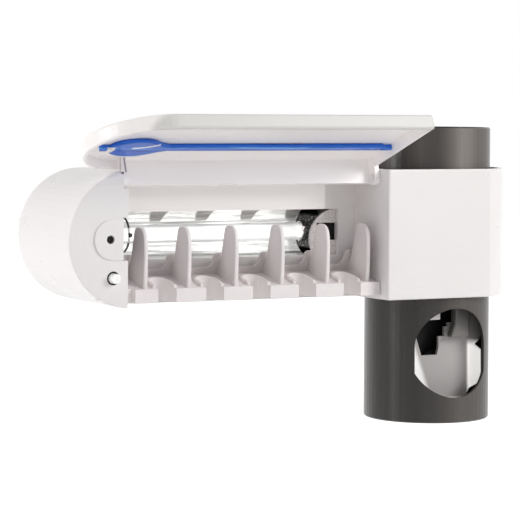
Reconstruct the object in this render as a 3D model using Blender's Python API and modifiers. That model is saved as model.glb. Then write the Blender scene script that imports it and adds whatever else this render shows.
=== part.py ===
"""Wall-hung toothbrush sterilizer with a toothpaste dispenser, lid shown open.

Metres, +Z up. The wall is the plane y = 0, the object stands in front of it at
negative y, +X is to the right of someone who faces it, and z = 0 is half way up
the sterilizing box. The lid is modelled shut and then swung open on its hinge.
"""

import math

import bmesh
import bpy
from mathutils import Matrix, Vector

# Gaps between pieces that rest on each other or run in each other
REST_GAP = 0.0003
RUN_GAP = 0.0001
CUT_OVERRUN = 0.0020

# Sterilizing box: a flat-topped box whose left end is a half circle
HALF_HEIGHT = 0.0303
END_CENTRE_X = -0.0874
FACE_Y = -0.0610
BACK_Y = -0.0026
BOX_WALL = 0.0022
EDGE_ROUND = 0.0007

# Brush chamber, open to the front and closed behind by a panel with a window
CHAMBER_LEFT_X = -0.0892
CHAMBER_RIGHT_X = 0.04015
PANEL_Y = -0.0370
PANEL_WALL = 0.0020
WINDOW_RIGHT_X = 0.0307
WINDOW_DROP = 0.0193
WINDOW_RISE = 0.0198
WINDOW_TOP_Z = HALF_HEIGHT - WINDOW_DROP
WINDOW_BOTTOM_Z = WINDOW_RISE - HALF_HEIGHT
LAMP_Z = (WINDOW_TOP_Z + WINDOW_BOTTOM_Z) / 2
TOP_EDGE_Y = -0.0508

# Details of the flat left end face
BOSS_CENTRE_X = -0.0966
BOSS_RADIUS = 0.0091
BOSS_HEIGHT = 0.0008
BOSS_SCREW_X = -0.0980
BOSS_SCREW_RADIUS = 0.0016
BOSS_SCREW_SINK = 0.0012
BOSS_SCREW_LENGTH = 0.0090
BOSS_NOTCH_DEPTH = 0.0026
PRY_NOTCH_ANGLE = math.radians(240.0)
PRY_NOTCH_SIZE = 0.0026

# Dispenser tube, open at both ends, with a brush window low at the front
TUBE_X = 0.0815
TUBE_Y = -0.0350
TUBE_RADIUS = 0.0300
TUBE_WALL = 0.0018
TUBE_TOP_Z = 0.0497
TUBE_BOTTOM_Z = -0.0895
TUBE_EDGE = 0.0006
TUBE_FLANGE_REACH = 0.0033
TUBE_FLANGE_THICKNESS = 0.0022
TUBE_LIP_REACH = 0.0022
TUBE_LIP_THICKNESS = 0.0016
BRUSH_WINDOW_WIDTH = 0.0372
BRUSH_WINDOW_CROWN_Z = -0.0542
BRUSH_WINDOW_FOOT_RADIUS = 0.0206
BRUSH_WINDOW_FOOT_DROP = 0.0029
BRUSH_WINDOW_SHIFT = -0.0016

# Sleeve that holds the dispenser tube, at the right end
SLEEVE_MARGIN = 0.0060
SLEEVE_FRONT_MARGIN = 0.0030
SLEEVE_BACK_MARGIN = 0.0038
SLEEVE_WALL = 0.0021
GUIDE_DROP = 0.0206
GUIDE_THICKNESS = 0.0022
GUIDE_CLEARANCE = 0.0006
SLEEVE_RADIUS = TUBE_RADIUS + SLEEVE_MARGIN
SLEEVE_FRONT_Y = TUBE_Y - TUBE_RADIUS - SLEEVE_FRONT_MARGIN
SLEEVE_BACK_Y = TUBE_Y + TUBE_RADIUS + SLEEVE_BACK_MARGIN
GUIDE_TOP_Z = HALF_HEIGHT - GUIDE_DROP

# Squeezer inside the tube. Shares are of the tube's radius, from its axis.
FRAME_TOP_Z = -0.0330
FRAME_FRONT_share = 0.20
FRAME_WALL = 0.0020
FRAME_EAR_share = 0.517
FRAME_EAR_THICKNESS = 0.0025
FRAME_EAR_HEIGHT = 0.0085
PADDLE_PIN_share = 0.50
PADDLE_PIN_Z = -0.0815
PADDLE_PIN_RADIUS = 0.0012
PADDLE_THICKNESS = 0.0016
PADDLE_TOP_Z = -0.0380
PADDLE_FLOOR_TOP_Z = -0.0437
PADDLE_STEP_Z = -0.0588
PADDLE_TRIM_Z = -0.0700
PADDLE_NOTCH_TOP_Z = -0.0410
PADDLE_NOTCH_Z = -0.0543
PADDLE_NOTCH_FOOT_Z = -0.0625
PADDLE_FOOT_LEAN = 0.0009
PADDLE_SIDE_GAP = 0.0008
PADDLE_HUB_RADIUS = 0.0024
SOCKET_RADIUS = 0.0130
SOCKET_BORE = 0.0062
SOCKET_HEIGHT = 0.0100
SOCKET_LIP = 0.0015
NOZZLE_FRONT_share = 0.667
NOZZLE_BACK_share = 0.517
NOZZLE_SHOULDER_Z = -0.0435
NOZZLE_BOTTOM_Z = -0.0502
NOZZLE_BEVEL = 0.0010
NOZZLE_BORE = 0.0012
LEDGE_BOTTOM_Z = -0.0417
LEDGE_THICKNESS = 0.0018
DIAPHRAGM_RADIUS = 0.0080
DIAPHRAGM_Z = -0.0640
DIAPHRAGM_CROWN_share = 0.55
FRAME_FRONT_Y = TUBE_Y - TUBE_RADIUS * FRAME_FRONT_share
FRAME_EAR_X = TUBE_RADIUS * FRAME_EAR_share
PADDLE_PIN_Y = TUBE_Y - TUBE_RADIUS * PADDLE_PIN_share
PADDLE_HUB_HALF = FRAME_EAR_X - FRAME_EAR_THICKNESS / 2 - PADDLE_SIDE_GAP

# Scoop's cross-section at its top and foot, as shares (x from the axis, forward of the axis)
PADDLE_TOP_shares = ((-0.620, 0.647), (-0.617, 0.460), (0.513, 0.460), (0.593, 0.667))
PADDLE_FOOT_shares = ((-0.620, 0.647), (-0.157, 0.460), (0.513, 0.460), (0.593, 0.667))
PADDLE_NOTCH_share = 0.530
PADDLE_TRIM_share = 0.63

# Stepped edge of the opening in the scoop's floor, as (share in x, share of its height)
PADDLE_STAIR_shares = (
    (-0.097, 0.00), (-0.063, 0.24), (-0.063, 0.58), (0.043, 0.58), (0.050, 0.88), (0.117, 0.88),
    (0.117, 1.00),
)

# Nozzle and ledge that hang in front of the scoop, as shares in x
NOZZLE_LEFT_share = 0.127
NOZZLE_FLARE_share = 0.040
NOZZLE_RIGHT_share = 0.407
LEDGE_LEFT_share = -0.580
LEDGE_RIGHT_share = -0.120
LEDGE_FRONT_share = 0.617

# Lid, in its shut place
HINGE_Y = -0.0568
HINGE_DROP = 0.0040
HINGE_Z = HALF_HEIGHT - HINGE_DROP
LID_OPEN_ANGLE = math.radians(110.0)
LID_FRONT_Y = -0.0680
LID_WALL = 0.0018
LID_RIM_LIP_Y = -0.0613
LID_HINGE_RIM_Y = -0.0548
LID_INSET = 0.0003
LID_EDGE = 0.0009
LID_RELIEF_DEPTH = 0.0013
LID_RELIEF_LEFT_X = -0.1000
ARM_WIDTH = 0.0024
ARM_END_RADIUS = 0.0036
LEFT_ARM_X = -0.0912
HINGE_PIN_RADIUS = 0.0012
HINGE_PIN_HEAD = 0.0016
HINGE_PIN_HEAD_LENGTH = 0.0008
HINGE_PIN_REACH = 0.0018

# Brush-shaped indicator lens in the lid
LENS_Z = 0.0064
LENS_BULB_LEFT_X = -0.1040
LENS_BULB_RIGHT_X = -0.0760
LENS_BULB_HALF = 0.0096
LENS_ROD_HALF = 0.0024
LENS_RIGHT_X = 0.0348
LENS_STAND = 0.0022
LENS_PLUG_STEP = 0.0009
LENS_EDGE = 0.0006
LENS_LEFT_CLIP_LENGTH = 0.0045
LENS_RIGHT_CLIP_LENGTH = 0.0030
LENS_CLIP_WIDTH = 0.0022

# Comb tray that hangs the brushes
TRAY_RISE = 0.0020
TRAY_FRONT_HEIGHT = 0.0063
TRAY_BACK_HEIGHT = 0.0119
TRAY_SLOPE_START = 0.0030
TRAY_WALL = 0.0018
SLOT_COUNT = 5
SLOT_PITCH = 0.0237
SLOT_WIDTH = 0.0090
SLOT_DEPTH = 0.0130
SLOT_MIDDLE_X = -0.02245
SLOT_RIM_WIDTH = 0.0014
SLOT_RIM_HEIGHT = 0.0014
END_LUG_LEFT_X = -0.0855
END_RECESS_DEPTH = 0.0030
FIN_THICKNESS = 0.0020
FIN_ROUND = 0.0006
FIN_FRONT_SETBACK = 0.0018
FIN_HEIGHT = 0.0288
END_FIN_SPACING = 0.0215
COMB_WALL_HEIGHT = 0.0204
COMB_WALL_LEAN = 0.0045
SCOOP_RISE = 0.0138
SCOOP_CORNER = 0.0038
SCOOP_FLARE = 0.0021
SCOOP_MARGIN = 0.0034
TRAY_TAB_WIDTH = 0.0080
TRAY_TAB_THICKNESS = 0.0024
TRAY_TAB_REACH = 0.0014
TRAY_BOTTOM_Z = TRAY_RISE - HALF_HEIGHT
TRAY_FRONT_TOP_Z = TRAY_BOTTOM_Z + TRAY_FRONT_HEIGHT
TRAY_BACK_TOP_Z = TRAY_BOTTOM_Z + TRAY_BACK_HEIGHT
FIN_FOOT_Z = TRAY_FRONT_TOP_Z - TRAY_WALL
FIN_TOP_Z = FIN_FOOT_Z + FIN_HEIGHT
COMB_WALL_TOP_Z = TRAY_BOTTOM_Z + COMB_WALL_HEIGHT
SCOOP_BOTTOM_Z = TRAY_BOTTOM_Z + SCOOP_RISE

# Lamp, reflector and their holders, behind the window
LAMP_Y = -0.0250
LAMP_RADIUS = 0.0042
LAMP_LEFT_X = -0.0850
LAMP_RIGHT_X = 0.0160
CAP_LENGTH = 0.0050
CAP_SKIRT = 0.0004
REFLECTOR_DEPTH = 0.0175
REFLECTOR_SHEET = 0.0005
REFLECTOR_FLANGE = 0.0020
REFLECTOR_CURVE_STEPS = 14
REFLECTOR_FULLNESS_share = 0.7
LAMP_SOCKET_LENGTH = 0.0055
LAMP_SOCKET_HALF = 0.0080
LAMP_SOCKET_HALF_DEPTH = 0.0070
BRACKET_FRONT_Y = -0.0126
BRACKET_THICKNESS = 0.0015
BRACKET_HALF_HEIGHT = 0.0130
BRACKET_POST_RADIUS = 0.0022
SHIELD_X = 0.0310
SHIELD_DROP = 0.0032
SHIELD_Z = LAMP_Z - SHIELD_DROP
SHIELD_RADIUS = 0.0140
SHIELD_THICKNESS = 0.0014
SHIELD_SLOT_TOP_Z = 0.0044
SHIELD_SLOT_BOTTOM_Z = -0.0038
SHIELD_SLOT_LEFT_X = 0.0205
SHIELD_LEG_WIDTH = 0.0050

# Interlock button under the lid, its switch and its spring
BUTTON_X = -0.0962
BUTTON_Z = -0.0168
BUTTON_HOLE_RADIUS = 0.0031
BUTTON_RADIUS = 0.0022
BUTTON_PROUD = 0.0035
BUTTON_FLANGE_RADIUS = 0.0040
BUTTON_FLANGE_THICKNESS = 0.0012
BUTTON_STEM_RADIUS = 0.0013
BUTTON_TRAVEL = 0.0024
BUTTON_TIP_ROUND = 0.0007
SWITCH_FRONT_Y = -0.0480
SWITCH_DEPTH = 0.0100
SWITCH_HALF_WIDTH = 0.0030
SWITCH_HALF_HEIGHT = 0.0033
SPRING_RADIUS = 0.0024
SPRING_WIRE = 0.00022
SPRING_TURNS = 6
SPRING_POINTS_PER_TURN = 10

# Electronics on the floor of the box
BOARD_LEFT_X = -0.0600
BOARD_RIGHT_X = 0.0200
BOARD_FRONT_Y = -0.0320
BOARD_BACK_Y = -0.0080
BOARD_RISE = 0.0047
BOARD_Z = BOARD_RISE - HALF_HEIGHT
BOARD_THICKNESS = 0.0016
BOARD_POST_RADIUS = 0.0025
TRANSFORMER_X = -0.0340
TRANSFORMER_WIDTH = 0.0150
TRANSFORMER_DEPTH = 0.0120
TRANSFORMER_HEIGHT = 0.0080
CAPACITOR_RADIUS = 0.0034
CAPACITOR_HEIGHT = 0.0085
CAPACITOR_SPACING = 0.0100
CAPACITOR_X = -0.0120
INLET_X = -0.0780
INLET_Y = -0.0200
INLET_RADIUS = 0.0042
INLET_BORE = 0.0027
INLET_PIN = 0.0008
INLET_DEPTH = 0.0090
INLET_FLANGE = 0.0012

# Back cover, its screws, and the wall plate that the box hangs on
COVER_THICKNESS = 0.0020
POST_LEFT_X = -0.1030
POST_MIDDLE_X = -0.0420
POST_RIGHT_X = 0.0340
POST_SIDE_HEIGHT_share = 0.52
POST_EDGE_HEIGHT_share = 0.80
POST_RADIUS = 0.0029
SCREW_HEAD_RADIUS = 0.0023
SCREW_HEAD_HEIGHT = 0.0012
SCREW_SHAFT_RADIUS = 0.0011
SCREW_LENGTH = 0.0080
SCREW_SLOT_WIDTH = 0.0008
SCREW_SLOT_DEPTH = 0.0006
SCREW_SLOT_share = 0.7
HANGER_LEFT_X = -0.0700
HANGER_RIGHT_X = 0.0300
HANGER_HALF_HEIGHT = 0.0150
HANGER_THICKNESS = 0.0022
HANGER_CORNER = 0.0040
HANGER_HOLE_RADIUS = 0.0022
HOOK_SPACING = 0.0640
HOOK_NECK_HALF = 0.0022
HOOK_HEAD_HALF = 0.0045
HOOK_HEAD_THICKNESS = 0.0016
KEYHOLE_DROP = 0.0105

ROUND_STEPS = 64
SMALL_ROUND_STEPS = 24
ARC_STEPS = 28
CORNER_STEPS = 8
MERGE_DISTANCE = 0.00001
SHARP_ANGLE = math.radians(35.0)
BEVEL_ANGLE = math.radians(40.0)
FLAT_ANGLE = math.radians(0.5)

# Fin outline, as shares of its depth (0 back, 1 front) and height (0 foot, 1 top)
FIN_OUTLINE_shares = (
    (0.945, 0.00), (0.985, 0.20), (1.00, 0.46), (1.00, 0.69), (0.98, 0.84), (0.92, 0.93), (0.82, 0.985),
    (0.70, 1.00), (0.59, 0.99), (0.51, 0.945), (0.47, 0.86), (0.405, 0.68), (0.34, 0.50), (0.20, 0.34),
    (0.00, 0.22), (0.00, 0.00),
)

# Bulb of the lens, as shares of its length (0 left, 1 right) and half height
LENS_BULB_shares = (
    (0.00, 0.00), (0.02, 0.34), (0.09, 0.64), (0.22, 0.88), (0.40, 1.00), (0.58, 0.95),
    (0.74, 0.72), (0.88, 0.42), (1.00, 0.25),
)

PARTS = None
CUTTERS = None


def clear_scene():
    """Removes what a new file holds and makes the two collections."""
    global PARTS, CUTTERS
    for item in list(bpy.data.objects):
        bpy.data.objects.remove(item, do_unlink=True)
    PARTS = bpy.data.collections.new("toothbrush_sterilizer")
    CUTTERS = bpy.data.collections.new("cutters")
    CUTTERS.hide_render = True
    for group in (PARTS, CUTTERS):
        bpy.context.scene.collection.children.link(group)


def material(name, colour, roughness, metallic=0.0, transmission=0.0):
    """A plain Principled material."""
    made = bpy.data.materials.new(name)
    made.use_nodes = True
    shader = made.node_tree.nodes["Principled BSDF"]
    shader.inputs["Base Color"].default_value = (*colour, 1.0)
    shader.inputs["Roughness"].default_value = roughness
    shader.inputs["Metallic"].default_value = metallic
    shader.inputs["Transmission Weight"].default_value = transmission
    return made


def add_object(name, mesh, group=None):
    """Links a mesh as an object and shades it smooth where it is round."""
    made = bpy.data.objects.new(name, mesh)
    (group or PARTS).objects.link(made)
    mesh.shade_smooth()
    mesh.set_sharp_from_angle(angle=SHARP_ANGLE)
    return made


def mesh_from(bm, name):
    """Closes a bmesh into a mesh whose faces point outwards."""
    bmesh.ops.recalc_face_normals(bm, faces=bm.faces)
    mesh = bpy.data.meshes.new(name)
    bm.to_mesh(mesh)
    bm.free()
    return mesh


def box(name, low, high, group=None):
    """A box between two corners."""
    low, high = Vector(low), Vector(high)
    bm = bmesh.new()
    bmesh.ops.create_cube(bm, size=1.0)
    size = Matrix.Diagonal((*(high - low), 1.0))
    bmesh.ops.transform(bm, matrix=Matrix.Translation((low + high) / 2) @ size, verts=bm.verts)
    return add_object(name, mesh_from(bm, name), group)


def rod(name, axis, centre, radius, low, high, steps=SMALL_ROUND_STEPS, group=None, top_radius=None):
    """A round bar along one axis. The centre gives its place on the other two axes."""
    bm = bmesh.new()
    bmesh.ops.create_cone(
        bm, cap_ends=True, segments=steps, radius1=radius,
        radius2=radius if top_radius is None else top_radius, depth=high - low,
    )
    turn = {"X": Matrix.Rotation(math.radians(90.0), 4, "Y"),
            "Y": Matrix.Rotation(math.radians(-90.0), 4, "X"),
            "Z": Matrix.Identity(4)}[axis]
    middle = (low + high) / 2
    place = {"X": (middle, *centre), "Y": (centre[0], middle, centre[1]), "Z": (*centre, middle)}[axis]
    bmesh.ops.transform(bm, matrix=Matrix.Translation(place) @ turn, verts=bm.verts)
    return add_object(name, mesh_from(bm, name), group)


def prism(name, outline, axis, low, high, group=None):
    """A flat outline given a thickness along an axis.

    The outline is in (y, z) for X, (x, z) for Y and (x, y) for Z.
    """
    curve = bpy.data.curves.new(name, "CURVE")
    curve.dimensions = "2D"
    curve.fill_mode = "BOTH"
    curve.extrude = (high - low) / 2
    spline = curve.splines.new("POLY")
    spline.points.add(len(outline) - 1)
    for point, (u, v) in zip(spline.points, outline):
        point.co = (u, v, 0.0, 1.0)
    spline.use_cyclic_u = True
    flat = bpy.data.objects.new(name + "_outline", curve)
    bpy.context.scene.collection.objects.link(flat)
    graph = bpy.context.evaluated_depsgraph_get()
    source = bpy.data.meshes.new_from_object(flat.evaluated_get(graph))
    bpy.data.objects.remove(flat, do_unlink=True)
    bm = bmesh.new()
    bm.from_mesh(source)
    bmesh.ops.remove_doubles(bm, verts=bm.verts, dist=MERGE_DISTANCE / 10)
    bmesh.ops.dissolve_limit(bm, angle_limit=FLAT_ANGLE, verts=bm.verts, edges=bm.edges)
    middle = (low + high) / 2
    swap = {"X": Matrix(((0, 0, 1, middle), (1, 0, 0, 0), (0, 1, 0, 0), (0, 0, 0, 1))),
            "Y": Matrix(((1, 0, 0, 0), (0, 0, 1, middle), (0, 1, 0, 0), (0, 0, 0, 1))),
            "Z": Matrix.Translation((0, 0, middle))}[axis]
    bmesh.ops.transform(bm, matrix=swap, verts=bm.verts)
    return add_object(name, mesh_from(bm, name), group)


def turned(name, profile, centre, steps=ROUND_STEPS, closed=True):
    """A turned shape: a profile of (radius, z), swept round a vertical axis.

    An open profile starts and ends on the axis.
    """
    mesh = bpy.data.meshes.new(name)
    count = len(profile)
    edges = [(i, (i + 1) % count) for i in range(count if closed else count - 1)]
    mesh.from_pydata([(radius, 0.0, z) for radius, z in profile], edges, [])
    made = bpy.data.objects.new(name, mesh)
    PARTS.objects.link(made)
    made.location = (*centre, 0.0)
    screw = made.modifiers.new("turn", "SCREW")
    screw.steps = steps
    screw.render_steps = steps
    screw.use_merge_vertices = True
    screw.merge_threshold = MERGE_DISTANCE
    screw.use_smooth_shade = True
    return made


def loft(name, lower, upper, low, high):
    """A solid between two outlines in (x, y) that have as many points each."""
    bm = bmesh.new()
    rings = [[bm.verts.new((x, y, z)) for x, y in outline] for outline, z in ((lower, low), (upper, high))]
    for ring in rings:
        bm.faces.new(ring)
    for number in range(len(lower)):
        pairs = [(ring[number - 1], ring[number]) for ring in rings]
        bm.faces.new((*pairs[0], pairs[1][1], pairs[1][0]))
    bmesh.ops.triangulate(bm, faces=bm.faces)
    return add_object(name, mesh_from(bm, name))


def combine(target, other, operation):
    """Adds a Boolean, and moves the other object to the cutters."""
    step = target.modifiers.new(other.name, "BOOLEAN")
    step.operation = operation
    step.object = other
    step.solver = "EXACT"
    for group in list(other.users_collection):
        group.objects.unlink(other)
    CUTTERS.objects.link(other)
    other.hide_render = True
    other.display_type = "WIRE"


def cut(target, other):
    combine(target, other, "DIFFERENCE")


def join(target, other):
    combine(target, other, "UNION")


def keep_within(target, other):
    combine(target, other, "INTERSECT")


def round_edges(target, width, segments=2):
    """Rounds every edge sharper than the bevel angle."""
    step = target.modifiers.new("round", "BEVEL")
    step.width = width
    step.segments = segments
    step.limit_method = "ANGLE"
    step.angle_limit = BEVEL_ANGLE
    step.use_clamp_overlap = True


def arc(centre, radius, start, end, steps):
    """Points along an arc, with angles in radians and both ends included."""
    turn = [start + (end - start) * i / steps for i in range(steps + 1)]
    return [(centre[0] + radius * math.cos(t), centre[1] + radius * math.sin(t)) for t in turn]


def smooth(points, steps=3):
    """A smooth open curve through the points."""
    ends = [points[0], *points, points[-1]]
    out = []
    for a, b, c, d in zip(ends, ends[1:], ends[2:], ends[3:]):
        for i in range(steps):
            t = i / steps
            out.append(tuple(
                b[k] + (c[k] - a[k]) * t / 2
                + (2 * a[k] - 5 * b[k] + 4 * c[k] - d[k]) * t * t / 2
                + (3 * b[k] - a[k] - 3 * c[k] + d[k]) * t ** 3 / 2
                for k in (0, 1)
            ))
    return [*out, points[-1]]


def rounded_rectangle(left, right, low, high, corner, steps=CORNER_STEPS):
    """An outline with four round corners."""
    quarter = math.pi / 2
    corners = ((right - corner, high - corner, 0), (left + corner, high - corner, 1),
               (left + corner, low + corner, 2), (right - corner, low + corner, 3))
    return [p for u, v, n in corners for p in arc((u, v), corner, n * quarter, (n + 1) * quarter, steps)]


def bullet(inset, right):
    """The box's outline in (x, z): a half circle at the left, square at the right."""
    radius = HALF_HEIGHT - inset
    start = math.acos(min(0.0, (right - END_CENTRE_X) / radius))
    left_end = arc((END_CENTRE_X, 0.0), radius, start, 2 * math.pi - start, ARC_STEPS)
    if right < END_CENTRE_X:
        return left_end
    return [(right, radius), *left_end, (right, -radius)]


def sleeve_outline(inset):
    """The sleeve's outline in (x, y), square at the left and round at the right."""
    radius = SLEEVE_RADIUS - inset
    front, back = SLEEVE_FRONT_Y + inset, SLEEVE_BACK_Y - inset
    start = math.asin((front - TUBE_Y) / radius)
    end = math.asin((back - TUBE_Y) / radius)
    left = CHAMBER_RIGHT_X + inset
    return [(left, back), (left, front), *arc((TUBE_X, TUBE_Y), radius, start, end, ARC_STEPS)]


def fin_places():
    """The x of each fin: one in the middle of each lug, the end ones set in."""
    first = SLOT_MIDDLE_X - SLOT_PITCH * (SLOT_COUNT - 2) / 2
    inner = [first + i * SLOT_PITCH for i in range(SLOT_COUNT - 1)]
    return [inner[0] - END_FIN_SPACING, *inner, inner[-1] + END_FIN_SPACING]


def slot_places():
    """The x of each brush slot."""
    first = SLOT_MIDDLE_X - SLOT_PITCH * (SLOT_COUNT - 1) / 2
    return [first + i * SLOT_PITCH for i in range(SLOT_COUNT)]


def cover_posts():
    """The (x, z) of the five screw posts."""
    side = HALF_HEIGHT * POST_SIDE_HEIGHT_share
    edge = HALF_HEIGHT * POST_EDGE_HEIGHT_share
    return [(POST_LEFT_X, side), (POST_LEFT_X, -side), (POST_MIDDLE_X, edge),
            (POST_RIGHT_X, edge), (POST_RIGHT_X, -edge)]


def hook_places():
    middle = (HANGER_LEFT_X + HANGER_RIGHT_X) / 2
    return [middle - HOOK_SPACING / 2, middle + HOOK_SPACING / 2]


# Box, chamber and sleeve, one moulding
def make_housing():
    inner_left = CHAMBER_LEFT_X - BOX_WALL
    housing = prism("main_housing", bullet(0.0, CHAMBER_RIGHT_X + SLEEVE_WALL), "Y", FACE_Y, BACK_Y)
    round_edges(housing, EDGE_ROUND)
    sleeve = prism("sleeve_block", sleeve_outline(0.0), "Z", -HALF_HEIGHT, HALF_HEIGHT)
    round_edges(sleeve, EDGE_ROUND)
    join(housing, sleeve)
    add_face_boss(housing)
    cavity_back = BACK_Y + CUT_OVERRUN
    cut(housing, prism("left_cavity", bullet(BOX_WALL, inner_left), "Y", FACE_Y + BOX_WALL, cavity_back))
    cut(housing, prism("rear_cavity", bullet(BOX_WALL, CHAMBER_RIGHT_X), "Y",
                       PANEL_Y + PANEL_WALL, cavity_back))
    ceiling = HALF_HEIGHT - BOX_WALL
    front = SLEEVE_FRONT_Y - CUT_OVERRUN
    cut(housing, box("chamber_space", (CHAMBER_LEFT_X, front, -HALF_HEIGHT - CUT_OVERRUN),
                     (CHAMBER_RIGHT_X, PANEL_Y, ceiling)))
    cut(housing, box("hinge_space", (CHAMBER_LEFT_X, front, ceiling - BOX_WALL),
                     (CHAMBER_RIGHT_X, TOP_EDGE_Y, HALF_HEIGHT + CUT_OVERRUN)))
    cut(housing, box("lamp_window", (CHAMBER_LEFT_X, PANEL_Y - CUT_OVERRUN, WINDOW_BOTTOM_Z),
                     (WINDOW_RIGHT_X, PANEL_Y + PANEL_WALL + CUT_OVERRUN, WINDOW_TOP_Z)))
    notch_half = BOSS_RADIUS + BOSS_HEIGHT / 2
    notch_back = PANEL_Y + PANEL_WALL + CUT_OVERRUN
    cut(housing, box("lamp_notch",
                     (CHAMBER_LEFT_X - BOSS_NOTCH_DEPTH, FACE_Y - CUT_OVERRUN, LAMP_Z - notch_half),
                     (CHAMBER_LEFT_X + CUT_OVERRUN, notch_back, LAMP_Z + notch_half)))
    cut_sleeve_bore(housing)
    cut_hinge_seats(housing, inner_left)
    cut_face_holes(housing)
    cut_tray_slots(housing)
    cut_inlet_hole(housing)
    add_inner_posts(housing, inner_left)
    return housing


def add_face_boss(housing):
    """The low round-ended boss over the lamp's end."""
    half_circle = arc((BOSS_CENTRE_X, LAMP_Z), BOSS_RADIUS, math.pi / 2, 3 * math.pi / 2, SMALL_ROUND_STEPS)
    right = CHAMBER_LEFT_X - EDGE_ROUND
    outline = [(right, LAMP_Z + BOSS_RADIUS), *half_circle, (right, LAMP_Z - BOSS_RADIUS)]
    boss = prism("face_boss", outline, "Y", FACE_Y - BOSS_HEIGHT, FACE_Y + BOSS_HEIGHT)
    round_edges(boss, BOSS_HEIGHT / 2)
    join(housing, boss)


def cut_sleeve_bore(housing):
    """Hollows the sleeve, leaving two plates that guide the tube."""
    lower_top = -HALF_HEIGHT + GUIDE_THICKNESS
    upper_low = GUIDE_TOP_Z - GUIDE_THICKNESS
    bore = sleeve_outline(SLEEVE_WALL)
    cut(housing, prism("sleeve_space_low", bore, "Z", lower_top, upper_low))
    cut(housing, prism("sleeve_space_high", bore, "Z", GUIDE_TOP_Z, HALF_HEIGHT + CUT_OVERRUN))
    cut(housing, rod("tube_way", "Z", (TUBE_X, TUBE_Y), TUBE_RADIUS + GUIDE_CLEARANCE,
                     -HALF_HEIGHT - CUT_OVERRUN, HALF_HEIGHT + CUT_OVERRUN, ROUND_STEPS))


def cut_hinge_seats(housing, inner_left):
    """The notch that the left arm swings in, and the holes for both pins."""
    arm_right = LEFT_ARM_X + ARM_WIDTH
    reach = ARM_END_RADIUS + REST_GAP
    pad_left = inner_left - HINGE_PIN_REACH - BOX_WALL / 2
    pad = box("hinge_pad", (pad_left, FACE_Y + BOX_WALL / 2, HINGE_Z - reach - BOX_WALL / 2),
              (inner_left + BOX_WALL / 2, TOP_EDGE_Y + BOX_WALL / 2, HALF_HEIGHT - BOX_WALL / 2))
    join(housing, pad)
    cut(housing, box("arm_notch", (LEFT_ARM_X - REST_GAP, FACE_Y - CUT_OVERRUN, HINGE_Z - reach),
                     (arm_right + CUT_OVERRUN, TOP_EDGE_Y, HALF_HEIGHT + CUT_OVERRUN)))
    hole = HINGE_PIN_RADIUS + RUN_GAP
    cut(housing, rod("left_pin_hole", "X", (HINGE_Y, HINGE_Z), hole,
                     LEFT_ARM_X - REST_GAP - HINGE_PIN_REACH, arm_right))
    cut(housing, rod("right_pin_hole", "X", (HINGE_Y, HINGE_Z), hole,
                     CHAMBER_RIGHT_X - CUT_OVERRUN, CHAMBER_RIGHT_X + SLEEVE_WALL + CUT_OVERRUN))


def cut_face_holes(housing):
    """Holes in the left end face, and the small notch under its edge."""
    wall_back = FACE_Y + BOX_WALL + CUT_OVERRUN
    cut(housing, rod("button_hole", "Y", (BUTTON_X, BUTTON_Z), BUTTON_HOLE_RADIUS,
                     FACE_Y - CUT_OVERRUN, wall_back))
    cut(housing, rod("boss_screw_hole", "Y", (BOSS_SCREW_X, LAMP_Z), BOSS_SCREW_RADIUS + REST_GAP,
                     FACE_Y - BOSS_HEIGHT - CUT_OVERRUN, wall_back))
    notch_x = END_CENTRE_X + HALF_HEIGHT * math.cos(PRY_NOTCH_ANGLE)
    notch_z = HALF_HEIGHT * math.sin(PRY_NOTCH_ANGLE)
    half = PRY_NOTCH_SIZE / 2
    cut(housing, box("pry_notch", (notch_x - half, FACE_Y + half, notch_z - half),
                     (notch_x + half, FACE_Y + half + PRY_NOTCH_SIZE, notch_z + half / 2)))


def tray_tabs():
    """The x of the three tabs that hold the tray to the panel."""
    places = fin_places()
    return [places[1], (places[2] + places[3]) / 2, places[4]]


def cut_tray_slots(housing):
    """Slots in the panel for the tray's tabs."""
    middle_z = (TRAY_BOTTOM_Z + TRAY_BACK_TOP_Z) / 2
    half = TRAY_TAB_THICKNESS / 2 + REST_GAP
    for number, x in enumerate(tray_tabs()):
        reach = TRAY_TAB_WIDTH / 2 + REST_GAP
        cut(housing, box(f"tab_slot_{number}", (x - reach, PANEL_Y - CUT_OVERRUN, middle_z - half),
                         (x + reach, PANEL_Y + PANEL_WALL + CUT_OVERRUN, middle_z + half)))


def cut_inlet_hole(housing):
    """The hole for the power inlet in the floor of the box."""
    cut(housing, rod("inlet_hole", "Z", (INLET_X, INLET_Y), INLET_RADIUS + REST_GAP,
                     -HALF_HEIGHT - CUT_OVERRUN, -HALF_HEIGHT + BOX_WALL + CUT_OVERRUN))


def add_inner_posts(housing, inner_left):
    """Screw posts, board posts and the shelf under the switch."""
    post_back = BACK_Y - COVER_THICKNESS - REST_GAP
    for number, (x, z) in enumerate(cover_posts()):
        root = FACE_Y + BOX_WALL / 2 if x < inner_left else PANEL_Y + PANEL_WALL / 2
        join(housing, rod(f"post_{number}", "Y", (x, z), POST_RADIUS, root, post_back))
        cut(housing, rod(f"post_hole_{number}", "Y", (x, z), SCREW_SHAFT_RADIUS + REST_GAP,
                         post_back - SCREW_LENGTH, post_back + CUT_OVERRUN))
    floor = -HALF_HEIGHT + BOX_WALL / 2
    for number, (x, y) in enumerate(board_posts()):
        join(housing, rod(f"board_post_{number}", "Z", (x, y), BOARD_POST_RADIUS, floor,
                          BOARD_Z - REST_GAP))
    shelf_top = BUTTON_Z - SWITCH_HALF_HEIGHT - REST_GAP
    join(housing, box("switch_shelf",
                      (BUTTON_X - SWITCH_HALF_WIDTH, SWITCH_FRONT_Y, shelf_top - BOX_WALL / 2),
                      (inner_left + BOX_WALL / 2, SWITCH_FRONT_Y + SWITCH_DEPTH, shelf_top)))


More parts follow.
